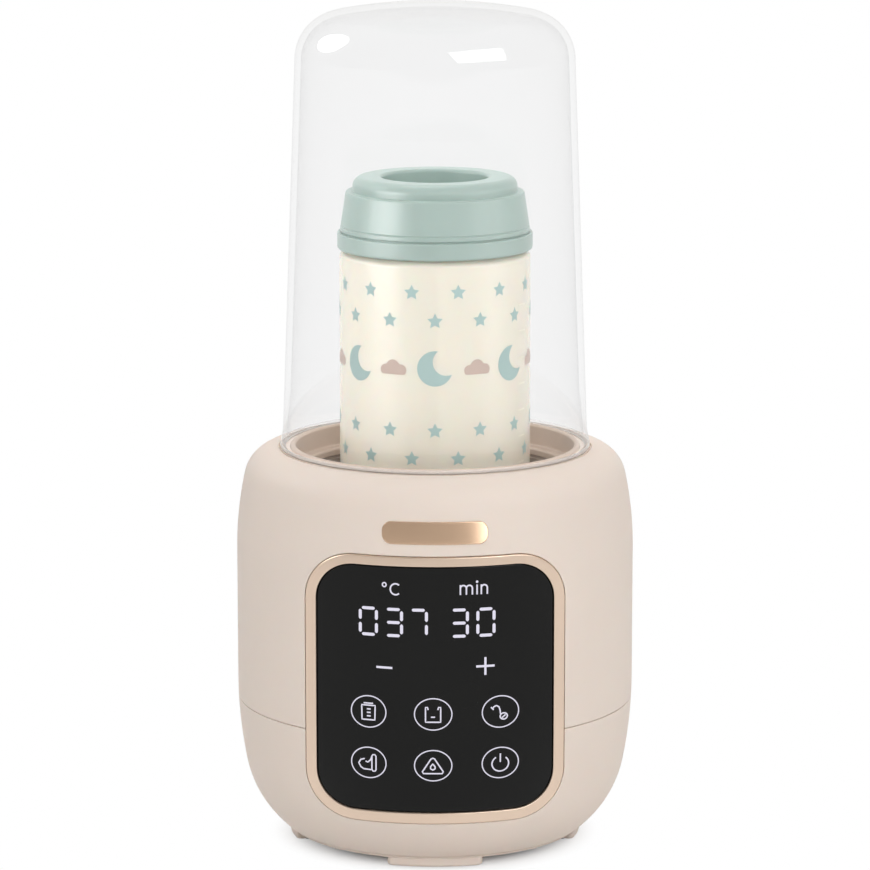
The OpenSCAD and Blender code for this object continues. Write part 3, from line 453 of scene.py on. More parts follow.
real = add_node(tree, "GeometryNodeRealizeInstances", {0: set_out.outputs[0]})
coated = add_node(tree, "GeometryNodeSetMaterial",
                  {"Geometry": real.outputs[0], "Material": given["Finish"]})
add_node(tree, "NodeGroupOutput", {0: coated.outputs[0]})


def repeated(name, part, finish, count, first=0.0, rows=1, pitch=0.0, row_turn=0.0):
    """Set a part out around the axis with the tree above, as one plain mesh; the part itself goes."""
    piece = bpy.data.objects.new(name, bpy.data.meshes.new(name))
    studio.collection.objects.link(piece)
    sizes = {"Part": part, "Count": count, "Rows": rows, "Row Pitch": pitch * MM,
             "First Angle": first, "Row Turn": row_turn, "Finish": finish}
    laid = piece.modifiers.new("around_axis", "NODES")
    laid.node_group = around_axis
    for item in around_axis.interface.items_tree:
        if item.in_out == "INPUT":
            laid[item.identifier] = sizes[item.name]
    bake_modifiers(piece)
    bpy.data.objects.remove(part)
    return piece


PAD_ROWS = ((0, 1.58), (0, 0.3), (0.1, 0.1), (0.3, 0.0))
foot_rubber = moulded_finish("grey_rubber", srgb(120, 116, 112), 0.75, drift=0.05, grain=0.5, depth=0.02)
pad = lofted_piece("pad", [foot_loop(PAD, inset, 0, z) for inset, z in PAD_ROWS])
pads = repeated("foot_pads", pad, foot_rubber, 4)
settle(pads, foot_rubber, "warmer", "foot_rubber",
       "foot_pad_front", "foot_pad_right", "foot_pad_rear", "foot_pad_left")

HEAD_R, HEAD_LOW, HEAD_TOP, SCREW_R, SCREW_TIP_Z, SCREW_END = 2.9, 2.45, 4.4, 1.5, 21.2, 22.4
SLOT_L, SLOT_W, SLOT_CORNER, SLOT_LOW, SLOT_TOP, SLOT_TAPER = 3.6, 0.75, 0.2, 1.95, 3.35, 0.25
screw_steel = moulded_finish("plated_steel", srgb(190, 190, 192), 0.32, drift=0.06, grain=0.2, depth=0.004,
                             Metallic=1.0)
base_screw = turned_piece("base_screw", rounded([
    (0, HEAD_LOW, 0), (HEAD_R, HEAD_LOW, 0.7), (HEAD_R, HEAD_TOP, 0.1), (SCREW_R, HEAD_TOP, 0),
    (SCREW_R, SCREW_TIP_Z, 0), (0.4, SCREW_END, 0), (0, SCREW_END, 0)], closed=False), 40, (SLEEVE_C_R, 0))
for turn_by in (0, pi / 2):
    slot_loops = []
    for z, pull in ((SLOT_LOW, 0.0), (SLOT_TOP, SLOT_TAPER)):
        flat = [Vector(spot) for spot in round_box(SLOT_L - 2 * pull, SLOT_W - pull, SLOT_CORNER, 2, 3)]
        turned_bar = [Matrix.Rotation(turn_by, 2) @ spot for spot in flat]
        slot_loops.append([(SLEEVE_C_R + spot.x, spot.y, z) for spot in turned_bar])
    carve(base_screw, lofted_piece("cross_slot", slot_loops), "DIFFERENCE")
screws = repeated("base_cross_screws", base_screw, screw_steel, 4, first=pi / 4)
settle(screws, screw_steel, "warmer", "screw_steel", "base_screws")

# ---- Power board --------------------------------------------------------------------------------
# A green glass-fibre board on the cover's posts with its transformer, relay, capacitor, terminal
# block and buzzer. They are bought parts with true CAD shapes, so they keep their solids.


def dress(finish, *nodes):
    """Give carried-over CAD nodes their finish."""
    for name in nodes:
        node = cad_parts[name]
        if not node.material_slots:
            node.data.materials.append(finish)
        for material_slot in node.material_slots:
            material_slot.material = finish


TRACK_SCALE, TRACK_EDGE = 320.0, (0.05, 0.09)


def board_finish():
    """Solder mask over copper tracks, on Object coordinates."""
    material = moulded_finish("green_board", srgb(38, 92, 66), 0.38, drift=0.08, grain=0.4, depth=0.01)
    tree = material.node_tree
    surface = tree.nodes["Principled BSDF"]
    place = add_node(tree, "ShaderNodeTexCoord").outputs["Object"]
    tracks = add_node(tree, "ShaderNodeTexVoronoi", {"Vector": place, "Scale": TRACK_SCALE},
                      distance="MANHATTAN", feature="DISTANCE_TO_EDGE")
    edge = mapped(tree, tracks.outputs["Distance"], (0.0, 1.0), TRACK_EDGE)
    mask = surface.inputs["Base Color"].links[0].from_socket
    mixed = add_node(tree, "ShaderNodeMix", {0: edge, 6: srgb(70, 128, 84), 7: mask}, data_type="RGBA")
    tree.links.new(mixed.outputs[2], surface.inputs["Base Color"])
    return material


green_board = board_finish()
dress(green_board, "main_board", "display_board")
dress(screw_steel, "board_screws")
dress(moulded_finish("yellow_winding_tape", srgb(214, 182, 84), 0.35, drift=0.06, grain=0.8, depth=0.02,
                     stretch=(1, 1, 6)), "transformer")
dress(moulded_finish("blue_relay_case", srgb(52, 92, 150), 0.35, grain=0.4, depth=0.008), "relay")
dress(moulded_finish("black_capacitor_sleeve", srgb(42, 44, 56), 0.28, drift=0.08, grain=0.6, depth=0.006),
      "capacitor")
dress(moulded_finish("green_terminal_plastic", srgb(66, 128, 84), 0.45, drift=0.05), "terminal_block")
black_plastic = moulded_finish("black_plastic", srgb(38, 38, 39), 0.5, drift=0.08, grain=0.3, depth=0.01)
dress(black_plastic, "buzzer", "gland_nut", "panel_carrier")
dress(moulded_finish("silicone_wire", srgb(176, 62, 52), 0.5, drift=0.06, grain=0.5, depth=0.01),
      "heater_leads")
dress(moulded_finish("grey_ribbon_cable", srgb(168, 170, 174), 0.45, drift=0.05, grain=1.2, depth=0.03,
                     stretch=(6, 1, 1)), "display_cable")

# ---- Lower housing ------------------------------------------------------------------------------
# The bowl under the barrel: pink-beige plastic with a fine satin grain, open in front for the lower
# part of the panel, its upper edge softened at the seam. The cord gland sits in a flat at the rear.

BODY_R, BASE_Z, BOWL_Z, WALL = 68.0, 4.8, 56.0, 2.6
BOWL_SOFT_R, BOWL_SOFT_DEG, BOWL_R = 150.0, 11.2, 37.6
TOP_Z, SHOULDER_SOFT_R, SHOULDER_SOFT_DEG, SHOULDER_R = 135.8, 120.0, 12.6, 11.0
PANEL_W, PANEL_H, PANEL_CORNER, PANEL_Z = 86.2, 91.8, 16.5, 65.3
WINDOW_FIT, WINDOW_EDGE, SEAM_EDGE = 0.15, 0.4, 0.3
LOWER_SEAM_Z, UPPER_SEAM_Z = 49.2, 49.4
TURN_STEPS, WINDOW_STEPS, SIDE_STEPS, PATCH_RINGS = 192, 48, 28, 6

soft_lean, shoulder_lean = radians(BOWL_SOFT_DEG), radians(SHOULDER_SOFT_DEG)
bowl_soft_x = BODY_R - BOWL_SOFT_R
bowl_x = bowl_soft_x + (BOWL_SOFT_R - BOWL_R) * cos(soft_lean)
bowl_c_z = BOWL_Z - (BOWL_SOFT_R - BOWL_R) * sin(soft_lean)
shoulder_soft_x = BODY_R - SHOULDER_SOFT_R
shoulder_x = shoulder_soft_x + (SHOULDER_SOFT_R - SHOULDER_R) * cos(shoulder_lean)
shoulder_c_z = TOP_Z - SHOULDER_R
barrel_top = shoulder_c_z - (SHOULDER_SOFT_R - SHOULDER_R) * sin(shoulder_lean)


def housing_radius(z, depth=0.0):
    """Radius of the housing at a height, at a depth under its outside: bowl, barrel and shoulder arcs."""
    if z < BOWL_Z - (BOWL_SOFT_R - depth) * sin(soft_lean):
        return bowl_x + sqrt((BOWL_R - depth) ** 2 - (bowl_c_z - z) ** 2)
    if z < BOWL_Z:
        return bowl_soft_x + sqrt((BOWL_SOFT_R - depth) ** 2 - (BOWL_Z - z) ** 2)
    if z < barrel_top:
        return BODY_R - depth
    if z < barrel_top + (SHOULDER_SOFT_R - depth) * sin(shoulder_lean):
        return shoulder_soft_x + sqrt((SHOULDER_SOFT_R - depth) ** 2 - (z - barrel_top) ** 2)
    return shoulder_x + sqrt(max((SHOULDER_R - depth) ** 2 - (z - shoulder_c_z) ** 2, 0.0))


def on_panel(x, z, depth=0.0):
    """The point of the housing's front at x and z, at a depth under its outside."""
    return (x, -sqrt(housing_radius(z, depth) ** 2 - x * x), z)


def evenly(points, steps):
    """The same path in even steps along its length."""
    lengths = [0.0]
    for a, b in zip(points, points[1:]):
        lengths.append(lengths[-1] + hypot(b[0] - a[0], b[1] - a[1]))
    path, k = [], 0
    for i in range(steps + 1):
        want = lengths[-1] * i / steps
        while k < len(points) - 2 and lengths[k + 1] < want:
            k += 1
        share = (want - lengths[k]) / (lengths[k + 1] - lengths[k])
        path.append(tuple(points[k][c] + (points[k + 1][c] - points[k][c]) * share for c in range(2)))
    return path


def window_path(grow, seam, side):
    """The window's edge on one side of the seam: up the right, across, and back down the left."""
    half_w, half_h, corner = PANEL_W / 2 + grow, PANEL_H / 2 + grow, PANEL_CORNER + grow
    bend = [(half_w - corner + corner * cos(radians(a)),
             PANEL_Z + side * (half_h - corner + corner * sin(radians(a)))) for a in range(0, 91, 3)]
    middle = len(bend) // 2
    rise = evenly([(half_w, seam)] + bend[:middle + 1], SIDE_STEPS)
    across = evenly(bend[middle:] + [(-x, z) for x, z in reversed(bend[middle:])], WINDOW_STEPS)
    return rise + across[1:] + [(-x, z) for x, z in reversed(rise[:-1])]


def windowed_shell(bm, seam, side, far_z, around):
    """Half of the housing from the seam to its free edge, with its part of the panel's window.
    around is the (r, z) outline from the outside at far_z over the free edge to the inside there."""
    step = 2 * pi / TURN_STEPS
    back_steps = TURN_STEPS - WINDOW_STEPS
    angles = [-pi / 4 + j * step for j in range(TURN_STEPS)]
    near = seam + side * SEAM_EDGE
    heights = [near + (far_z - near) * k / SIDE_STEPS for k in range(SIDE_STEPS)]

    def point(angle, z, depth):
        r = housing_radius(z, depth)
        return bm.verts.new((r * cos(angle), r * sin(angle), z))

    def quads(rows):
        for low, high in zip(rows, rows[1:]):
            for i in range(len(low) - 1):
                bm.faces.new((low[i], low[i + 1], high[i + 1], high[i]))

    rings = [[bm.verts.new((r * cos(a), r * sin(a), z)) for a in angles] for r, z in around]
    quads([ring + ring[:1] for ring in rings])

    def skin(depth, grow, far_ring):
        rows = [[point(a, z, depth) for a in angles[:back_steps + 1]] for z in heights]
        rows.append(far_ring[:back_steps + 1])
        quads(rows)
        rim = [rows[k][0] for k in range(SIDE_STEPS)]
        rim += [far_ring[(TURN_STEPS - t) % TURN_STEPS] for t in range(WINDOW_STEPS + 1)]
        rim += [rows[k][back_steps] for k in range(SIDE_STEPS - 1, -1, -1)]
        rim_at = [(-pi / 4, z) for z in heights]
        rim_at += [(-pi / 4 - t * step, far_z) for t in range(WINDOW_STEPS + 1)]
        rim_at += [(-3 * pi / 4, z) for z in reversed(heights)]
        edge_at = []
        for x, z in window_path(grow, near, side):
            r = housing_radius(z, depth)
            edge_at.append((atan2(-sqrt(r * r - x * x), x), z))
        patch = []
        for k in range(PATCH_RINGS):
            t = k / PATCH_RINGS
            patch.append([point(a0 + (a1 - a0) * t, z0 + (z1 - z0) * t, depth)
                          for (a0, z0), (a1, z1) in zip(edge_at, rim_at)])
        quads(patch + [rim])
        seam_line = [ring[0] for ring in patch] + rows[0] + [ring[-1] for ring in reversed(patch)]
        return patch[0], seam_line

    outer_edge, outer_seam = skin(0.0, WINDOW_FIT + WINDOW_EDGE, rings[0])
    inner_edge, inner_seam = skin(WALL, WINDOW_FIT, rings[-1])
    reveal = [[bm.verts.new(on_panel(x, z, depth)) for x, z in window_path(WINDOW_FIT + grow, near, side)]
              for depth, grow in eased(WINDOW_EDGE)]
    quads([outer_edge] + reveal + [inner_edge])
    lip = [[point(atan2(v.co.y, v.co.x), seam + side * drop, depth) for v in outer_seam]
           for depth, drop in eased(SEAM_EDGE)]
    lip.append([point(atan2(v.co.y, v.co.x), seam, WALL) for v in inner_seam])
    quads([outer_seam] + lip + [inner_seam])
    for end in (0, -1):
        bm.faces.new([outer_edge[end]] + [row[end] for row in lip] + [inner_edge[end]]
                     + [row[end] for row in reversed(reveal)])


def arc_rows(z0, z1, steps, depth):
    """Rows of the housing's outline between two heights."""
    heights = [z0 + (z1 - z0) * i / steps for i in range(steps + 1)]
    return [(housing_radius(z, depth), z) for z in heights]


LOWER_FAR_Z, BASE_EDGE_Z, BASE_EDGE = 12.5, 6.4, 0.8
base_edge = rounded([(housing_radius(BASE_EDGE_Z), BASE_EDGE_Z, 0),
                     (housing_radius(BASE_Z), BASE_Z, BASE_EDGE),
                     (housing_radius(BASE_Z, WALL), BASE_Z, 0)], closed=False)[1:]
bowl_foot = arc_rows(LOWER_FAR_Z, BASE_EDGE_Z, 6, 0.0) + base_edge
bm = bmesh.new()
windowed_shell(bm, LOWER_SEAM_Z, -1, LOWER_FAR_Z, bowl_foot + arc_rows(BASE_Z, LOWER_FAR_Z, 6, WALL)[1:])
lower = mesh_piece(bm, "lower_housing_moulding")

# The gland's places along its own axis, rearward from the warmer's middle
GLAND_Z, GLAND_IN, GLAND_BOSS_IN, GLAND_SEAT, GLAND_FACE = 24.0, 50.26, 57.8, 62.26, 64.26
GLAND_R, GLAND_BOSS_R, GLAND_NECK_R, GLAND_FIT, CORD_WAY_R = 8.2, 9.4, 6.0, 0.15, 3.3
CORE_LOW, CORE_TOP, SEAT_CUT_IN, SEAT_CUT_OUT = 8, 48, 40, 90
lay_rearward = Matrix.Translation((0, 0, GLAND_Z)) @ Matrix.Rotation(radians(-90), 4, "X")
gland_boss = turned_piece("gland_boss", [(0, GLAND_BOSS_IN), (GLAND_BOSS_R, GLAND_BOSS_IN),
                                         (GLAND_BOSS_R, GLAND_SEAT), (0, GLAND_SEAT)], 64, laid=lay_rearward)
core = [(0, CORE_LOW)] + arc_rows(CORE_LOW, CORE_TOP, 30, WALL / 2) + [(0, CORE_TOP)]
carve(gland_boss, turned_piece("bowl_core", core, 128), "INTERSECT")
carve(lower, gland_boss, "UNION")
seat_r, neck_r = GLAND_R + GLAND_FIT, GLAND_NECK_R + GLAND_FIT
gland_seat = [(0, SEAT_CUT_IN), (neck_r, SEAT_CUT_IN), (neck_r, GLAND_SEAT), (seat_r, GLAND_SEAT),
              (seat_r, SEAT_CUT_OUT), (0, SEAT_CUT_OUT)]
carve(lower, turned_piece("gland_seat", gland_seat, 64, laid=lay_rearward), "DIFFERENCE")
settle(lower, housing_plastic, "warmer", "housing_plastic", "lower_housing")

# ---- Cord gland ---------------------------------------------------------------------------------
# A turned black plastic bush pushed through the bowl's rear wall from outside, with a rounded
# flange and an eased mouth for the cord. A hexagon nut holds it inside.

bush = rounded([(CORD_WAY_R, GLAND_IN, 0.3), (GLAND_NECK_R, GLAND_IN, 0.4), (GLAND_NECK_R, GLAND_SEAT, 0),
                (GLAND_R, GLAND_SEAT, 0), (GLAND_R, GLAND_FACE, 0.9), (CORD_WAY_R, GLAND_FACE, 1.0)])
gland = turned_piece("cord_gland_bush", bush, 96, laid=lay_rearward)
settle(gland, black_plastic, "warmer", "black_plastic", "cord_gland")

# ---- Chassis ring -------------------------------------------------------------------------------
# A grey moulded ring that ties the housing's posts together and takes the base screws.
# It is screwed up from below and isn't seen once the bowl is on.

dress(moulded_finish("grey_inner_plastic", srgb(150, 146, 142), 0.55, drift=0.04, grain=0.5, depth=0.012),
      "chassis_ring")
dress(screw_steel, "chassis_screws")

# ---- Heater stack and chamber -------------------------------------------------------------------
# A cast aluminium plate with a tubular heater, a clamp, a sensor and a thermal cut-out under a
# spun cup with a taupe non-stick coat. A silicone gasket seals the cup against the mouth's ledge.

dress(moulded_finish("cast_aluminium", srgb(176, 174, 170), 0.48, drift=0.07, grain=0.9, depth=0.04,
                     Metallic=0.9), "heater_plate", "heater_clamp")
dress(moulded_finish("heater_sheath", srgb(140, 128, 118), 0.4, drift=0.12, grain=0.6, depth=0.01,
                     Metallic=0.9), "heating_element")
dress(screw_steel, "heater_screws", "chamber_screws", "temperature_sensor")
dress(moulded_finish("white_fuse_ceramic", srgb(226, 222, 214), 0.4, drift=0.03), "thermal_fuse")
dress(moulded_finish("taupe_silicone", srgb(138, 124, 113), 0.7, drift=0.05, grain=0.5, depth=0.02),
      "chamber_gasket")
dress(moulded_finish("taupe_coated_cup", srgb(160, 145, 133), 0.42, drift=0.05, grain=0.9, depth=0.012,
                     stretch=(0.2, 0.2, 3.0), Metallic=0.15), "heating_chamber")

# ---- Upper housing ------------------------------------------------------------------------------
# The barrel and shoulder, moulded in one with the low rim that locates the dome, a fine groove
# around its seat, and the mouth's ledge, in a darker taupe that is painted shade. Screw posts stand inside.

UPPER_FAR_Z, SHOULDER_STEPS = 118.0, 12
RIM_IN_R, RIM_OUT_R, RIM_Z = 47.6, 49.6, 137.0
GROOVE_R, GROOVE_Z, GROOVE_W, GROOVE_FLOOR = 53.6, 135.2, 0.7, (0.2, 0.6)
LEDGE_IN_R, LEDGE_Z, LEDGE_UNDER_Z = 44.6, 129.5, 126.9
PAINTED_SHADE_R, PAINTED_SHADE_Z = RIM_OUT_R + 0.1, LEDGE_UNDER_Z - 1
POST_PILOT_R, POST_DEG, CORE_FOOT_Z = 1.55, 38.0, 51.0
# Screw posts and chamber bosses: radius, distance from the axis, low end, pilot's top, angles
POST = (3.4, 58.5, 52.0, 64.0, (-POST_DEG, POST_DEG, 180 - POST_DEG, 180 + POST_DEG))
BOSS = (3.2, 55.0, 126.1, 133.2, (0, 90, 180, 270))


def shoulder_rows(depth):
    """The shoulder from the window's far row to the edge of the flat top."""
    soft_top = barrel_top + (SHOULDER_SOFT_R - depth) * sin(shoulder_lean)
    rows = arc_rows(UPPER_FAR_Z, soft_top, 5, depth)
    arc_r = SHOULDER_R - depth
    for i in range(1, SHOULDER_STEPS + 1):
        a = shoulder_lean + (pi / 2 - shoulder_lean) * i / SHOULDER_STEPS
        rows.append((shoulder_x + arc_r * cos(a), shoulder_c_z + arc_r * sin(a)))
    return rows


top_run = rounded([
    (shoulder_x, TOP_Z, 0), (GROOVE_R, TOP_Z, 0.15), (GROOVE_R - GROOVE_FLOOR[0], GROOVE_Z, 0.1),
    (GROOVE_R - GROOVE_FLOOR[1], GROOVE_Z, 0.1), (GROOVE_R - GROOVE_W, TOP_Z, 0.05), (RIM_OUT_R, TOP_Z, 0.2),
    (RIM_OUT_R, RIM_Z, 0.95), (RIM_IN_R, RIM_Z, 0.95), (RIM_IN_R, LEDGE_Z, 0.8), (LEDGE_IN_R, LEDGE_Z, 1.0),
    (LEDGE_IN_R, LEDGE_UNDER_Z, 0.4), (RIM_OUT_R, LEDGE_UNDER_Z, 0), (RIM_OUT_R, TOP_Z - WALL, 0),
    (shoulder_x, TOP_Z - WALL, 0)], closed=False)
bm = bmesh.new()
windowed_shell(bm, UPPER_SEAM_Z, 1, UPPER_FAR_Z,
               shoulder_rows(0.0) + top_run[1:-1] + list(reversed(shoulder_rows(WALL))))
upper = mesh_piece(bm, "upper_housing_moulding")
bm = bmesh.new()
for r, at_r, low, pilot_top, angles in (POST, BOSS):
    for spot in ring_spots(at_r, *angles):
        turned(bm, [(POST_PILOT_R, low), (r, low), (r, TOP_Z), (0, TOP_Z), (0, pilot_top),
                    (POST_PILOT_R, pilot_top), (POST_PILOT_R, low)], 32, spot)
posts = mesh_piece(bm, "screw_posts")
core = [(0, CORE_FOOT_Z)] + arc_rows(CORE_FOOT_Z, UPPER_FAR_Z, 12, WALL / 2) + shoulder_rows(WALL / 2)[1:]
carve(posts, turned_piece("barrel_core", core + [(0, TOP_Z - WALL / 2)]), "INTERSECT")
carve(upper, posts, "UNION")
# The mouth's rim, inner wall and ledge get a darker taupe: painted shade for the recess under the dome
mouth_shade_paint = moulded_finish("mouth_taupe_plastic", srgb(203, 184, 169), 0.55, drift=0.015, depth=0.006,
                             Specular_IOR_Level=0.4)
settle(upper, [housing_plastic, mouth_shade_paint], "warmer", "housing_plastic", "upper_housing")
# Faces inside the rim and above the ledge's underside take the painted-shade taupe
for face in upper.data.polygons:
    middle = face.center / MM
    if middle.z > PAINTED_SHADE_Z and hypot(middle.x, middle.y) < PAINTED_SHADE_R:
        face.material_index = 1

# ---- Panel frame --------------------------------------------------------------------------------
# A thin frame of rose-gold plated metal bent to the housing's curve, satin brushed, with eased
# edges. It snaps into the window and stands a little proud of the plastic around it.

FRAME_BAND, FRAME_PROUD, FRAME_EDGE, FRAME_RISE = 3.6, 0.4, 0.45, 0.12


def panel_loop(inset, depth, share=1.0):
    """The panel's outline drawn in by inset and laid on the housing's front at a depth.
    With a share it is a smaller outline of the same form about the middle."""
    flat = round_box(PANEL_W - 2 * inset, PANEL_H - 2 * inset, PANEL_CORNER - inset, 28, 14)
    return [on_panel(x * share, PANEL_Z + FRAME_RISE * inset + z * share, depth) for x, z in flat]


frame_section = [(0.0, WALL), (0.0, FRAME_EDGE - FRAME_PROUD)]
frame_section += [(inset, drop - FRAME_PROUD) for inset, drop in eased(FRAME_EDGE, (22, 45, 68, 90))]
frame_section += [(FRAME_BAND - inset, depth) for inset, depth in reversed(frame_section)]
bezel = lofted_piece("panel_frame", [panel_loop(*spot) for spot in frame_section], capped=False)
rose_gold = moulded_finish("brushed_rose_gold", srgb(236, 212, 191), 0.34, drift=0.04, grain=0.5,
                           depth=0.006, stretch=(0.06, 0.06, 2.0), Metallic=0.7)
settle(bezel, rose_gold, "warmer", "rose_gold", "panel_bezel")

# ---- Touch panel --------------------------------------------------------------------------------
# Curved black glass with a polished edge, bonded into the frame from behind. The display board,
# its lit digit block and the key springs press against its back.

GLASS_FIT, GLASS_SINK, GLASS_T, GLASS_EDGE = 0.15, 0.2, 2.0, 0.5
GLASS_RINGS = (0.93, 0.82, 0.7, 0.58, 0.46, 0.34, 0.22, 0.1, 0.03)
glass_inset, glass_back = FRAME_BAND + GLASS_FIT, GLASS_SINK + GLASS_T
face_inset = glass_inset + GLASS_EDGE
loops = [panel_loop(face_inset, glass_back, share) for share in reversed(GLASS_RINGS)]
loops += [panel_loop(glass_inset, depth) for depth in (glass_back, GLASS_SINK + GLASS_EDGE)]
loops += [panel_loop(glass_inset + inset, GLASS_SINK + drop) for inset, drop in eased(GLASS_EDGE)]
loops += [panel_loop(face_inset, GLASS_SINK, share) for share in GLASS_RINGS]
glass = lofted_piece("touch_glass", loops)
black_glass = moulded_finish("black_glass", srgb(16, 16, 15), 0.07, drift=0.10, grain=6.0, depth=0.0004,
                             Specular_IOR_Level=0.2)
settle(glass, black_glass, "warmer", "panel_glass", "touch_panel")
dress(moulded_finish("white_digit_block", srgb(236, 236, 238), 0.5, grain=0.4, depth=0.006),
      "display_module")
dress(screw_steel, "touch_springs", "display_screws")

# ---- Lit signs ----------------------------------------------------------------------------------
# White light through masks behind the glass: seven-bar digits, the two units, minus and plus, and
# six ringed keys with plain pictograms. Modelled as thin films on the glass.

SIGN_PROUD, SIGN_UNDER, SIGN_STEP, SIGN_STRIP = 0.07, 0.05, 0.8, 1.5
sign_face, sign_back = GLASS_SINK - SIGN_PROUD, GLASS_SINK + SIGN_UNDER
signs = bmesh.new()


def bent_film(bm, flat, step, front, back):
    """A thin film from a closed (x, z) outline, cut into strips so that front and back can bend it."""
    sheet = bmesh.new()
    sheet.faces.new([sheet.verts.new((x, 0, z)) for x, z in flat])
    for axis in (0, 2):
        low, high = min(v.co[axis] for v in sheet.verts), max(v.co[axis] for v in sheet.verts)
        strips = ceil((high - low) / step)
        for i in range(1, strips):
            cut = Vector((0, 0, 0))
            cut[axis] = 1
            bmesh.ops.bisect_plane(sheet, geom=sheet.verts[:] + sheet.edges[:] + sheet.faces[:],
                                   plane_co=cut * (low + (high - low) * i / strips), plane_no=cut)
    faces = {v: bm.verts.new(front(v.co.x, v.co.z)) for v in sheet.verts}
    backs = {v: bm.verts.new(back(v.co.x, v.co.z)) for v in sheet.verts}
    for face in sheet.faces:
        bm.faces.new([faces[v] for v in face.verts])
        bm.faces.new([backs[v] for v in reversed(face.verts)])
    for edge in sheet.edges:
        if edge.is_boundary:
            a, b = edge.verts
            bm.faces.new((faces[a], faces[b], backs[b], backs[a]))
    sheet.free()


def lit_prism(flat):
    """A thin lit patch on the glass from a closed (x, z) outline."""
    bent_film(signs, flat, SIGN_STRIP, lambda x, z: on_panel(x, z, sign_face),
              lambda x, z: on_panel(x, z, sign_back))


def lit_stroke(path, width, closed=False):
    """A lit line along an (x, z) path on the glass, stepped finely enough to follow its bend."""
    spans = list(zip(path, path[1:] + (path[:1] if closed else [])))
    fine = []
    for (x0, z0), (x1, z1) in spans:
        steps = max(1, ceil(hypot(x1 - x0, z1 - z0) / SIGN_STEP))
        fine += [(x0 + (x1 - x0) * i / steps, z0 + (z1 - z0) * i / steps) for i in range(steps)]
    path = fine if closed else fine + path[-1:]
    count = len(path)
    rails = []
    for i, (x, z) in enumerate(path):
        before = path[i - 1] if closed or i else path[i]
        after = path[(i + 1) % count] if closed or i < count - 1 else path[i]
        along = Vector((after[0] - before[0], after[1] - before[1])).normalized()
        rails.append([(x - along.y * s * width / 2, z + along.x * s * width / 2) for s in (-1, 1)])
    loops = []
    for left, right in rails:
        loops.append([signs.verts.new(on_panel(*p, depth)) for p, depth in (
            (left, sign_face), (right, sign_face), (right, sign_back), (left, sign_back))])
    for a, b in zip(loops, loops[1:] + (loops[:1] if closed else [])):
        for i in range(4):
            signs.faces.new((a[i], a[(i + 1) % 4], b[(i + 1) % 4], b[i]))
    if not closed:
        signs.faces.new(loops[0])
        signs.faces.new(list(reversed(loops[-1])))


def ellipse(cx, cz, rx, rz, first=0.0, sweep=360.0, steps=40):
    """Points of an ellipse or a part of one; a whole one leaves out its repeated last point."""
    count = steps if abs(sweep) >= 360 else steps + 1
    angles = [radians(first + sweep * i / steps) for i in range(count)]
    return [(cx + rx * cos(a), cz + rz * sin(a)) for a in angles]


# Bars a to g of a digit: top, upper right, lower right, bottom, lower left, upper left, middle
DIGIT_W, DIGIT_H, DIGIT_Z, BAR_T, BAR_GAP, BAR_NOSE = 5.35, 8.85, 89.1, 1.0, 0.5, 0.55
DIGITS = (("0", -22.0), ("3", -13.7), ("7", -5.5), ("3", 8.0), ("0", 16.8))
DIGIT_BARS = {"0": "abcdef", "3": "abcdg", "7": "abc"}
half_w, half_h = DIGIT_W / 2, DIGIT_H / 2
BAR_ENDS = {"a": ((-half_w, half_h), (half_w, half_h)), "b": ((half_w, half_h), (half_w, 0)),
            "c": ((half_w, 0), (half_w, -half_h)), "d": ((-half_w, -half_h), (half_w, -half_h)),
            "e": ((-half_w, 0), (-half_w, -half_h)), "f": ((-half_w, half_h), (-half_w, 0)),
            "g": ((-half_w, 0), (half_w, 0))}
# A bar's nose: shares of its length, and of half the bar's width there
BAR_SIDE = ((0.45, 0.75), (1.0, 1.0))
for figure, centre_x in DIGITS:
    for bar in DIGIT_BARS[figure]:
        start, end = [Vector((centre_x + x, DIGIT_Z + z)) for x, z in BAR_ENDS[bar]]
        ahead = (end - start).normalized()
        across = Vector((-ahead.y, ahead.x)) * (BAR_T / 2)
        start, end, nose = start + ahead * BAR_GAP, end - ahead * BAR_GAP, ahead * (BAR_T * BAR_NOSE)
        outline = [start]
        outline += [start + nose * along - across * out for along, out in BAR_SIDE]
        outline += [end - nose * along - across * out for along, out in reversed(BAR_SIDE)]
        outline.append(end)
        outline += [end - nose * along + across * out for along, out in BAR_SIDE]
        outline += [start + nose * along + across * out for along, out in reversed(BAR_SIDE)]
        lit_prism([tuple(p) for p in outline])

# The two units, then minus and plus
UNIT_STROKE, RING_STROKE, STEP_STROKE = 0.5, 0.42, 0.72
UNIT_LOW, UNIT_TOP, HUMP_W, HUMP_Z, DOT_Z, DOT_R = 98.6, 101.9, 1.98, 100.75, 102.85, 0.42
M_X, I_X, N_X = 8.35, 13.85, 15.25
lit_stroke(ellipse(-16.7, 101.75, 0.62, 0.68, steps=20), RING_STROKE, closed=True)
lit_stroke(ellipse(-13.0, 100.35, 1.72, 1.85, 48, 264, 24), UNIT_STROKE)
for stem_x, humps in ((M_X, 2), (N_X, 1), (I_X, 0)):
    lit_stroke([(stem_x, UNIT_LOW), (stem_x, UNIT_TOP)], UNIT_STROKE)
    for hump in range(humps):
        left = stem_x + hump * HUMP_W
        bend = ellipse(left + HUMP_W / 2, HUMP_Z, HUMP_W / 2, 1.0, 165, -165, 12)
        lit_stroke(bend + [(left + HUMP_W, UNIT_LOW)], UNIT_STROKE)
lit_prism(ellipse(I_X, DOT_Z, DOT_R, DOT_R, steps=16))
for path in ([(-19.4, 73.75), (-14.1, 73.65)], [(13.6, 74.2), (19.7, 74.2)], [(16.65, 71.2), (16.65, 77.2)]):
    lit_stroke(path, STEP_STROKE)

KEY_RZ, KEY_STROKE, PICTURE_STROKE = 5.35, 0.36, 0.45
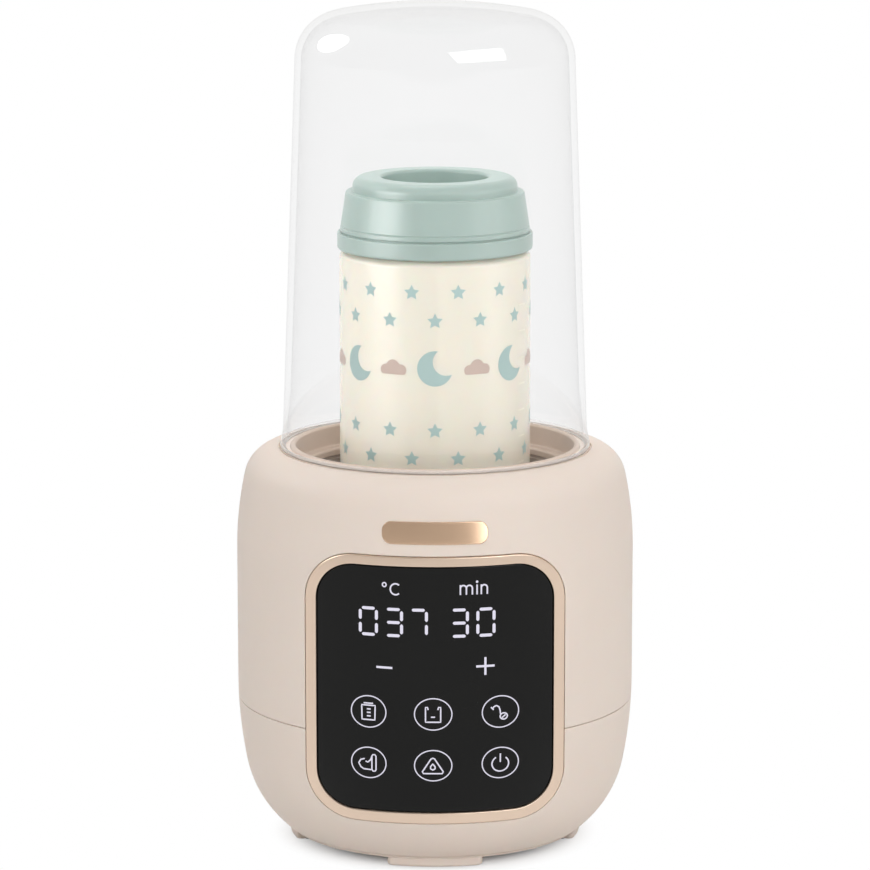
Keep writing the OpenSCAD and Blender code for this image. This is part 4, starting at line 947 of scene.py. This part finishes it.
# Each key's middle and half width, and its pictogram: strokes in shares of the key, open or closed
keys = {"jar": (-22.0, 58.35, 5.75), "pot": (-0.6, 58.25, 6.2), "spoon": (21.7, 58.35, 6.05),
        "bowl": (-22.0, 40.65, 5.75), "drop": (-0.6, 40.5, 6.2), "power": (21.7, 40.65, 6.05)}
pictures = {
    "jar": [([(-0.40, 0.40), (0.38, 0.40), (0.36, -0.52), (-0.38, -0.52)], True),
            ([(-0.28, 0.53), (0.26, 0.53)], False), ([(-0.10, 0.16), (0.12, 0.16)], False),
            ([(-0.10, -0.06), (0.12, -0.06)], False), ([(-0.10, -0.28), (0.12, -0.28)], False)],
    "pot": [([(-0.27, 0.28), (-0.30, 0.44), (-0.41, 0.44), (-0.41, -0.50), (0.40, -0.50), (0.40, 0.44),
              (0.28, 0.44), (0.25, 0.28)], False), ([(-0.12, -0.18), (0.10, -0.18)], False)],
    "spoon": [([(-0.44, 0.20), (-0.36, 0.34), (-0.22, 0.40), (-0.08, 0.30), (-0.02, 0.08),
                (0.00, -0.14)], False),
              ([(-0.52, 0.32), (-0.38, 0.14)], False), ([(0.08, -0.40), (0.28, -0.22)], False),
              (ellipse(0.18, -0.30, 0.20, 0.20, steps=15), True)],
    "bowl": [([(-0.24, 0.24), (-0.46, 0.16), (-0.58, -0.06), (-0.46, -0.32), (-0.28, -0.44),
               (0.14, -0.46)], False),
             ([(-0.18, 0.08), (-0.06, 0.02), (0.10, 0.18), (0.18, 0.42)], False),
             ([(0.18, -0.44), (0.18, 0.44), (0.24, 0.54), (0.36, 0.54), (0.42, 0.44), (0.42, -0.44),
               (0.36, -0.54), (0.24, -0.54)], True)],
    "drop": [([(-0.02, 0.50), (0.08, 0.44), (0.54, -0.40), (0.48, -0.52), (-0.52, -0.52), (-0.58, -0.40),
               (-0.12, 0.44)], True),
             ([(-0.02, 0.12), (0.10, -0.06), (0.10, -0.20), (-0.02, -0.28), (-0.14, -0.20),
               (-0.14, -0.06)], True)],
    "power": [(ellipse(0.0, -0.06, 0.46, 0.50, 122, 288, 24), False), ([(0.0, 0.60), (0.0, 0.04)], False)],
}
for key, (centre_x, centre_z, key_rx) in keys.items():
    lit_stroke(ellipse(centre_x, centre_z, key_rx, KEY_RZ, steps=64), KEY_STROKE, closed=True)
    for path, closed in pictures[key]:
        drawn = [(centre_x + u * key_rx, centre_z + v * KEY_RZ) for u, v in path]
        lit_stroke(drawn, PICTURE_STROKE, closed)
lit_signs = mesh_piece(signs, "lit_signs")
lit_white = moulded_finish("lit_white", srgb(120, 118, 126), 0.4, drift=0.02, grain=0.5, depth=0.001,
                           Emission_Color=srgb(232, 229, 246), Emission_Strength=0.72)
settle(lit_signs, lit_white, "warmer", "display_white")

# ---- Trim plate ---------------------------------------------------------------------------------
# A small plain plate of rose-gold plated metal over the panel, bent to the shoulder and glued on.
# Its edges are eased.

PLATE_W, PLATE_H, PLATE_CORNER, PLATE_Z = 35.0, 7.4, 3.1, 119.1
PLATE_PROUD, PLATE_ROOT, PLATE_EDGE, PLATE_STRIP = 0.45, 0.3, 0.25, 1.6
bm = bmesh.new()
bent_film(bm, round_box(PLATE_W, PLATE_H, PLATE_CORNER, 1, 10), PLATE_STRIP,
          lambda x, z: on_panel(x, PLATE_Z + z, -PLATE_PROUD),
          lambda x, z: on_panel(x, PLATE_Z + z, PLATE_ROOT))
plate = mesh_piece(bm, "blank_plate")
edge = plate.modifiers.new("eased_edge", "BEVEL")
edge.width, edge.segments, edge.limit_method, edge.angle_limit = PLATE_EDGE * MM, 3, "ANGLE", radians(40)
bake_modifiers(plate)
plate_gold = moulded_finish("polished_rose_gold", srgb(226, 192, 161), 0.24, drift=0.05, grain=0.4,
                            depth=0.004, stretch=(2.0, 0.06, 0.06), Metallic=0.6)
settle(plate, plate_gold, "warmer", "rose_gold")
card_lit.objects.link(plate)

# ---- Bottle -------------------------------------------------------------------------------------
# A blow-moulded feeding bottle in milky ivory plastic, thin-walled, with a stepped neck under the
# collar. It stands loose on the floor of the chamber.

BOTTLE_R, BOTTLE_Z, BOTTLE_TOP, BOTTLE_EDGE_R, BOTTLE_EDGE_Z = 32.5, 58.2, 204.0, 30.4, 202.3
BOTTLE_IN_R, BOTTLE_IN_Z, BOTTLE_ROOF_Z = 30.9, 59.8, 201.5
NECK_R, NECK_IN_R, NECK_TOP = 26.0, 24.4, 218.5
bottle = turned_piece("bottle_shell", rounded([
    (0, BOTTLE_Z, 0), (BOTTLE_R, BOTTLE_Z, 5.0), (BOTTLE_R, BOTTLE_EDGE_Z, 1.6),
    (BOTTLE_EDGE_R, BOTTLE_TOP, 0.6), (NECK_R, BOTTLE_TOP, 0.8), (NECK_R, NECK_TOP, 0.5),
    (NECK_IN_R, NECK_TOP, 0.5), (NECK_IN_R, BOTTLE_ROOF_Z, 0.8), (BOTTLE_IN_R, BOTTLE_ROOF_Z, 1.2),
    (BOTTLE_IN_R, BOTTLE_IN_Z, 3.4), (0, BOTTLE_IN_Z, 0)], closed=False))
milky = moulded_finish("milky_ivory_plastic", srgb(249, 239, 224), 0.22, drift=0.008, grain=2.5, depth=0.002,
                       Transmission_Weight=0.22, IOR=1.5, Subsurface_Weight=0.3, Subsurface_Scale=0.004)
settle(bottle, milky, "bottle", "bottle_plastic", "bottle_body")
strip_lit.objects.link(bottle)

# ---- Bottle print -------------------------------------------------------------------------------
# A plain nursery print in soft teal-grey and rose-taupe inks: rows of small stars above and below a
# ring of crescents and clouds, and pale level marks at the side. Screen-printed, so thin films.

INK_T, INK_UNDER, INK_STRIP = 0.06, 0.01, 1.2
print_ink = moulded_finish("teal_grey_ink", srgb(158, 182, 179), 0.4, drift=0.05, grain=0.5, depth=0.004)


def ink_patch(flat, height, angle=-pi / 2):
    """A thin film on the bottle from a closed (x, z) outline, about an angle and a height."""
    def laid(r):
        return lambda x, z: (r * cos(angle + x / BOTTLE_R), r * sin(angle + x / BOTTLE_R), height + z)

    bm = bmesh.new()
    bent_film(bm, flat, INK_STRIP, laid(BOTTLE_R + INK_T), laid(BOTTLE_R + INK_UNDER))
    return mesh_piece(bm, "motif")


def star(size, waist=0.5, points=5):
    """A plain star, point up."""
    turns = [(size if i % 2 == 0 else size * waist, pi / 2 + i * pi / points) for i in range(2 * points)]
    return [(r * cos(a), r * sin(a)) for r, a in turns]


def crescent(size):
    """A crescent moon, open to the upper right."""
    horn, tilt, shift, outer_steps, inner_steps = radians(50), radians(30), 1.16, 26, 20
    reach, centre = size * sin(horn), size * cos(horn) * shift
    bite = hypot(reach, size * cos(horn) - centre)
    turn_back = atan2(reach, size * cos(horn) - centre)
    outer = [horn + (2 * pi - 2 * horn) * i / outer_steps for i in range(outer_steps + 1)]
    inner = [2 * pi - turn_back - (2 * pi - 2 * turn_back) * i / inner_steps for i in range(1, inner_steps)]
    flat = [(size * cos(a), size * sin(a)) for a in outer]
    flat += [(centre + bite * cos(a), bite * sin(a)) for a in inner]
    return [(x * cos(tilt) - z * sin(tilt), x * sin(tilt) + z * cos(tilt)) for x, z in flat]


def cloud(size):
    """A flat-bottomed cloud of three puffs: their farthest edge from the middle of its foot."""
    puffs = [(Vector((-0.62, 0.32)), 0.40), (Vector((0.0, 0.55)), 0.55), (Vector((0.64, 0.34)), 0.42)]
    sink, least_step, looks = 0.4, 0.02, 44
    flat = []
    for i in range(looks + 1):
        look = Vector((cos(pi * i / looks), sin(pi * i / looks)))
        far = 0.0
        for middle, r in puffs:
            inside = look.dot(middle) ** 2 - middle.length_squared + r * r
            if inside > 0:
                far = max(far, look.dot(middle) + sqrt(inside))
        flat.append((size * look.x * far, size * (look.y * far - sink)))
    steps = [hypot(x - flat[k - 1][0], z - flat[k - 1][1]) for k, (x, z) in enumerate(flat)]
    return [spot for spot, step in zip(flat, steps) if step > least_step]


STAR_SIZE, STAR_COLUMNS, STAR_PITCH = 2.7, 13, 9.6
for name, first_z, rows in (("stars_above", 184.0, 2), ("stars_below", 70.0, 9)):
    stars = repeated(name, ink_patch(star(STAR_SIZE), first_z), print_ink, STAR_COLUMNS, rows=rows,
                     pitch=STAR_PITCH, row_turn=pi / STAR_COLUMNS)
    settle(stars, print_ink, "bottle", "bottle_plastic")

MOON_SIZE, MOON_Z, CLOUD_SIZE, CLOUD_Z, RING_COUNT = 6.0, 168.0, 4.6, 167.5, 7
moons = repeated("crescents", ink_patch(crescent(MOON_SIZE), MOON_Z), print_ink, RING_COUNT)
settle(moons, print_ink, "bottle", "bottle_plastic")
rose_ink = moulded_finish("rose_taupe_ink", srgb(190, 169, 158), 0.4, drift=0.04, grain=0.5, depth=0.004)
clouds = repeated("clouds", ink_patch(cloud(CLOUD_SIZE), CLOUD_Z), rose_ink, RING_COUNT,
                  first=pi / RING_COUNT)
settle(clouds, rose_ink, "bottle", "bottle_plastic")

MARK_W, MARK_H, MARK_CORNER, MARK_Z = 5.0, 0.45, 0.15, 88.0
MARK_COUNT, MARK_PITCH, MARK_TURN = 12, 9.0, radians(64)
pale_ink = moulded_finish("pale_level_ink", srgb(216, 208, 190), 0.4, drift=0.03, grain=0.5, depth=0.004)
mark = ink_patch(round_box(MARK_W, MARK_H, MARK_CORNER, 1, 3), MARK_Z)
marks = repeated("level_marks", mark, pale_ink, 1, first=MARK_TURN, rows=MARK_COUNT, pitch=MARK_PITCH)
settle(marks, pale_ink, "bottle", "bottle_plastic")

# ---- Sealing disc -------------------------------------------------------------------------------
# A flat disc in the collar's mint plastic, with an eased edge. The collar presses it on the
# bottle's neck, and it rises with the collar as that unscrews.

DISC_R, DISC_Z, DISC_TOP = 25.8, 218.7, 220.9
mint_plastic = moulded_finish("mint_plastic", srgb(157, 176, 169), 0.30, drift=0.012, grain=0.4,
                              depth=0.003, Specular_IOR_Level=0.5, Subsurface_Weight=0.08,
                              Subsurface_Scale=0.002)
disc = turned_piece("mint_disc", rounded([
    (0, DISC_Z, 0), (DISC_R, DISC_Z, 0.4), (DISC_R, DISC_TOP, 0.6), (0, DISC_TOP, 0)], closed=False))
settle(disc, mint_plastic, "disc", "mint_plastic", "sealing_disc")

# ---- Collar -------------------------------------------------------------------------------------
# The screw collar in satin mint plastic: a band, a fine groove, a slightly tapered skirt with a
# soft lip, and a raised ring around the mouth. It screws on the bottle's neck.

COLLAR_Z, COLLAR_R, BAND_TOP, BAND_GROOVE_R, BAND_GROOVE_TOP = 204.2, 33.2, 209.9, 31.75, 210.4
LIP_R, LIP_TOP_R, LIP_TOP, NICK_R, NICK_Z = 32.25, 32.15, 211.9, 31.85, 212.1
SKIRT_Z, SKIRT_R, SKIRT_TOP, SKIRT_TOP_R = 212.5, 32.0, 223.7, 30.3
COLLAR_RING_R, COLLAR_TOP, COLLAR_HOLE_R, COLLAR_BORE_R, COLLAR_ROOF_Z = 28.0, 228.8, 18.0, 26.4, 221.1
collar = turned_piece("collar_ring", rounded([
    (COLLAR_BORE_R, COLLAR_Z, 0.3), (COLLAR_R, COLLAR_Z, 0.9), (COLLAR_R, BAND_TOP, 0.4),
    (BAND_GROOVE_R, BAND_TOP, 0.1), (BAND_GROOVE_R, BAND_GROOVE_TOP, 0.1), (LIP_R, BAND_GROOVE_TOP, 0.3),
    (LIP_TOP_R, LIP_TOP, 0.25), (NICK_R, NICK_Z, 0.1), (SKIRT_R, SKIRT_Z, 0.2), (SKIRT_TOP_R, SKIRT_TOP, 0.6),
    (COLLAR_RING_R, SKIRT_TOP, 0.4), (COLLAR_RING_R, COLLAR_TOP, 3.4), (COLLAR_HOLE_R, COLLAR_TOP, 1.2),
    (COLLAR_HOLE_R, COLLAR_ROOF_Z, 0.3), (COLLAR_BORE_R, COLLAR_ROOF_Z, 0.3)]))
settle(collar, mint_plastic, "collar", "mint_plastic", "bottle_collar")
strip_lit.objects.link(collar)

# ---- Dome ---------------------------------------------------------------------------------------
# The clear cover: one injection moulding, slightly tapered, with a soft corner, a low crown and a
# soft flare around its foot. It drops over the rim and rests on the flat of the housing.

DOME_Z, DOME_IN_R, DOME_T, DOME_DRAFT = 135.9, 50.0, 2.2, 2.1
DOME_CORNER_X, DOME_CORNER_Z, DOME_CORNER = 31.03, 268.4, 16.3
CROWN_R, CROWN_C_Z, CROWN_DEG = 181.9, 105.7, 10.8
BEAD_R, BEAD_H, BEAD_EDGE, FROST_Z, FLARE_H = 53.0, 1.8, 0.5, 137.5, 8.0
DOME_STEPS, CORNER_STEPS, CROWN_STEPS, FLARE_STEPS = 320, 24, 12, 8
WALL_RISES = (20, 45, 70, 95, 115)


def dome_rows(depth):
    """The dome from the top of its wall to the middle of its crown, drawn in by depth."""
    rows = []
    corner_r, crown_r = DOME_CORNER - depth, CROWN_R - depth
    for i in range(CORNER_STEPS + 1):
        a = radians(DOME_DRAFT + (90 - CROWN_DEG - DOME_DRAFT) * i / CORNER_STEPS)
        rows.append((DOME_CORNER_X + corner_r * cos(a), DOME_CORNER_Z + corner_r * sin(a)))
    last = atan2(rows[-1][1] - CROWN_C_Z, rows[-1][0])
    for i in range(1, CROWN_STEPS + 1):
        a = last + (pi / 2 - last) * i / CROWN_STEPS
        rows.append((crown_r * cos(a) if i < CROWN_STEPS else 0.0, CROWN_C_Z + crown_r * sin(a)))
    return rows


def dome_wall(r):
    """The straight, slightly tapered wall from its radius at the seat."""
    return [(r - wall_lean * rise, DOME_Z + rise) for rise in WALL_RISES]


foot_r = DOME_IN_R + DOME_T
wall_lean = tan(radians(DOME_DRAFT))
foot = rounded([(DOME_IN_R, DOME_Z, 0.4), (BEAD_R, DOME_Z, BEAD_EDGE), (BEAD_R, DOME_Z + BEAD_H, 0.3)],
               closed=False)
for i in range(1, FLARE_STEPS + 1):
    share = 1 - i / FLARE_STEPS
    rise = BEAD_H + (FLARE_H - BEAD_H) * i / FLARE_STEPS
    foot.append((foot_r - wall_lean * rise + (BEAD_R - foot_r) * share ** 2, DOME_Z + rise))
bm = bmesh.new()
turned(bm, foot + dome_wall(foot_r) + dome_rows(0.0), DOME_STEPS)
turned(bm, foot[:1] + dome_wall(DOME_IN_R) + dome_rows(DOME_T), DOME_STEPS)
dome = mesh_piece(bm, "dome_shell")

# The thin wall doesn't bend what is seen through it, and its gloss comes from the coat of the outside
COAT = {"IOR": 1.0, "Coat_Weight": 1.0}
CLEAR = {"grain": 60.0, "depth": 0.001, "Transmission_Weight": 1.0, "Coat_Roughness": 0.02, **COAT}
clear = moulded_finish("clear_dome_plastic", (0.938, 0.939, 0.940, 1), 0.02, drift=0.004, Coat_IOR=1.45,
                       **CLEAR)
inner_clear = moulded_finish("clear_dome_inside", (0.995, 0.995, 0.995, 1), 0.02, drift=0.002, Coat_IOR=1.02,
                             Coat_Tint=(0.988, 0.988, 0.988, 1), **CLEAR)
frosted = moulded_finish("frosted_dome_foot", (0.96, 0.96, 0.96, 1), 0.25, drift=0.01, grain=0.3, depth=0.004,
                         Transmission_Weight=0.7, Coat_Roughness=0.1, Coat_IOR=1.45, **COAT)
# A dark grey-brown tint on the foot's lowest edge: a painted contact shadow line where the dome meets the
# housing
foot_painted_shadow = moulded_finish("dome_foot_edge", (0.46, 0.42, 0.39, 1), 0.5, drift=0.03, grain=0.3, depth=0.004,
                           Transmission_Weight=0.3, IOR=1.0)
settle(dome, [clear, inner_clear, frosted, foot_painted_shadow], "dome", "dome_plastic", "dome_cover")
inside_spot = Vector((0, 0, DOME_CORNER_Z * MM / 2))
# The lowest half-millimetre of the foot takes the painted shadow, the bead above it the frosted finish
for face in dome.data.polygons:
    middle_z = face.center.z / MM
    if middle_z < DOME_Z + BEAD_EDGE:
        face.material_index = 3
    elif middle_z < FROST_Z:
        face.material_index = 2
    elif face.normal.dot(face.center - inside_spot) < 0:
        face.material_index = 1
dome.visible_shadow = False
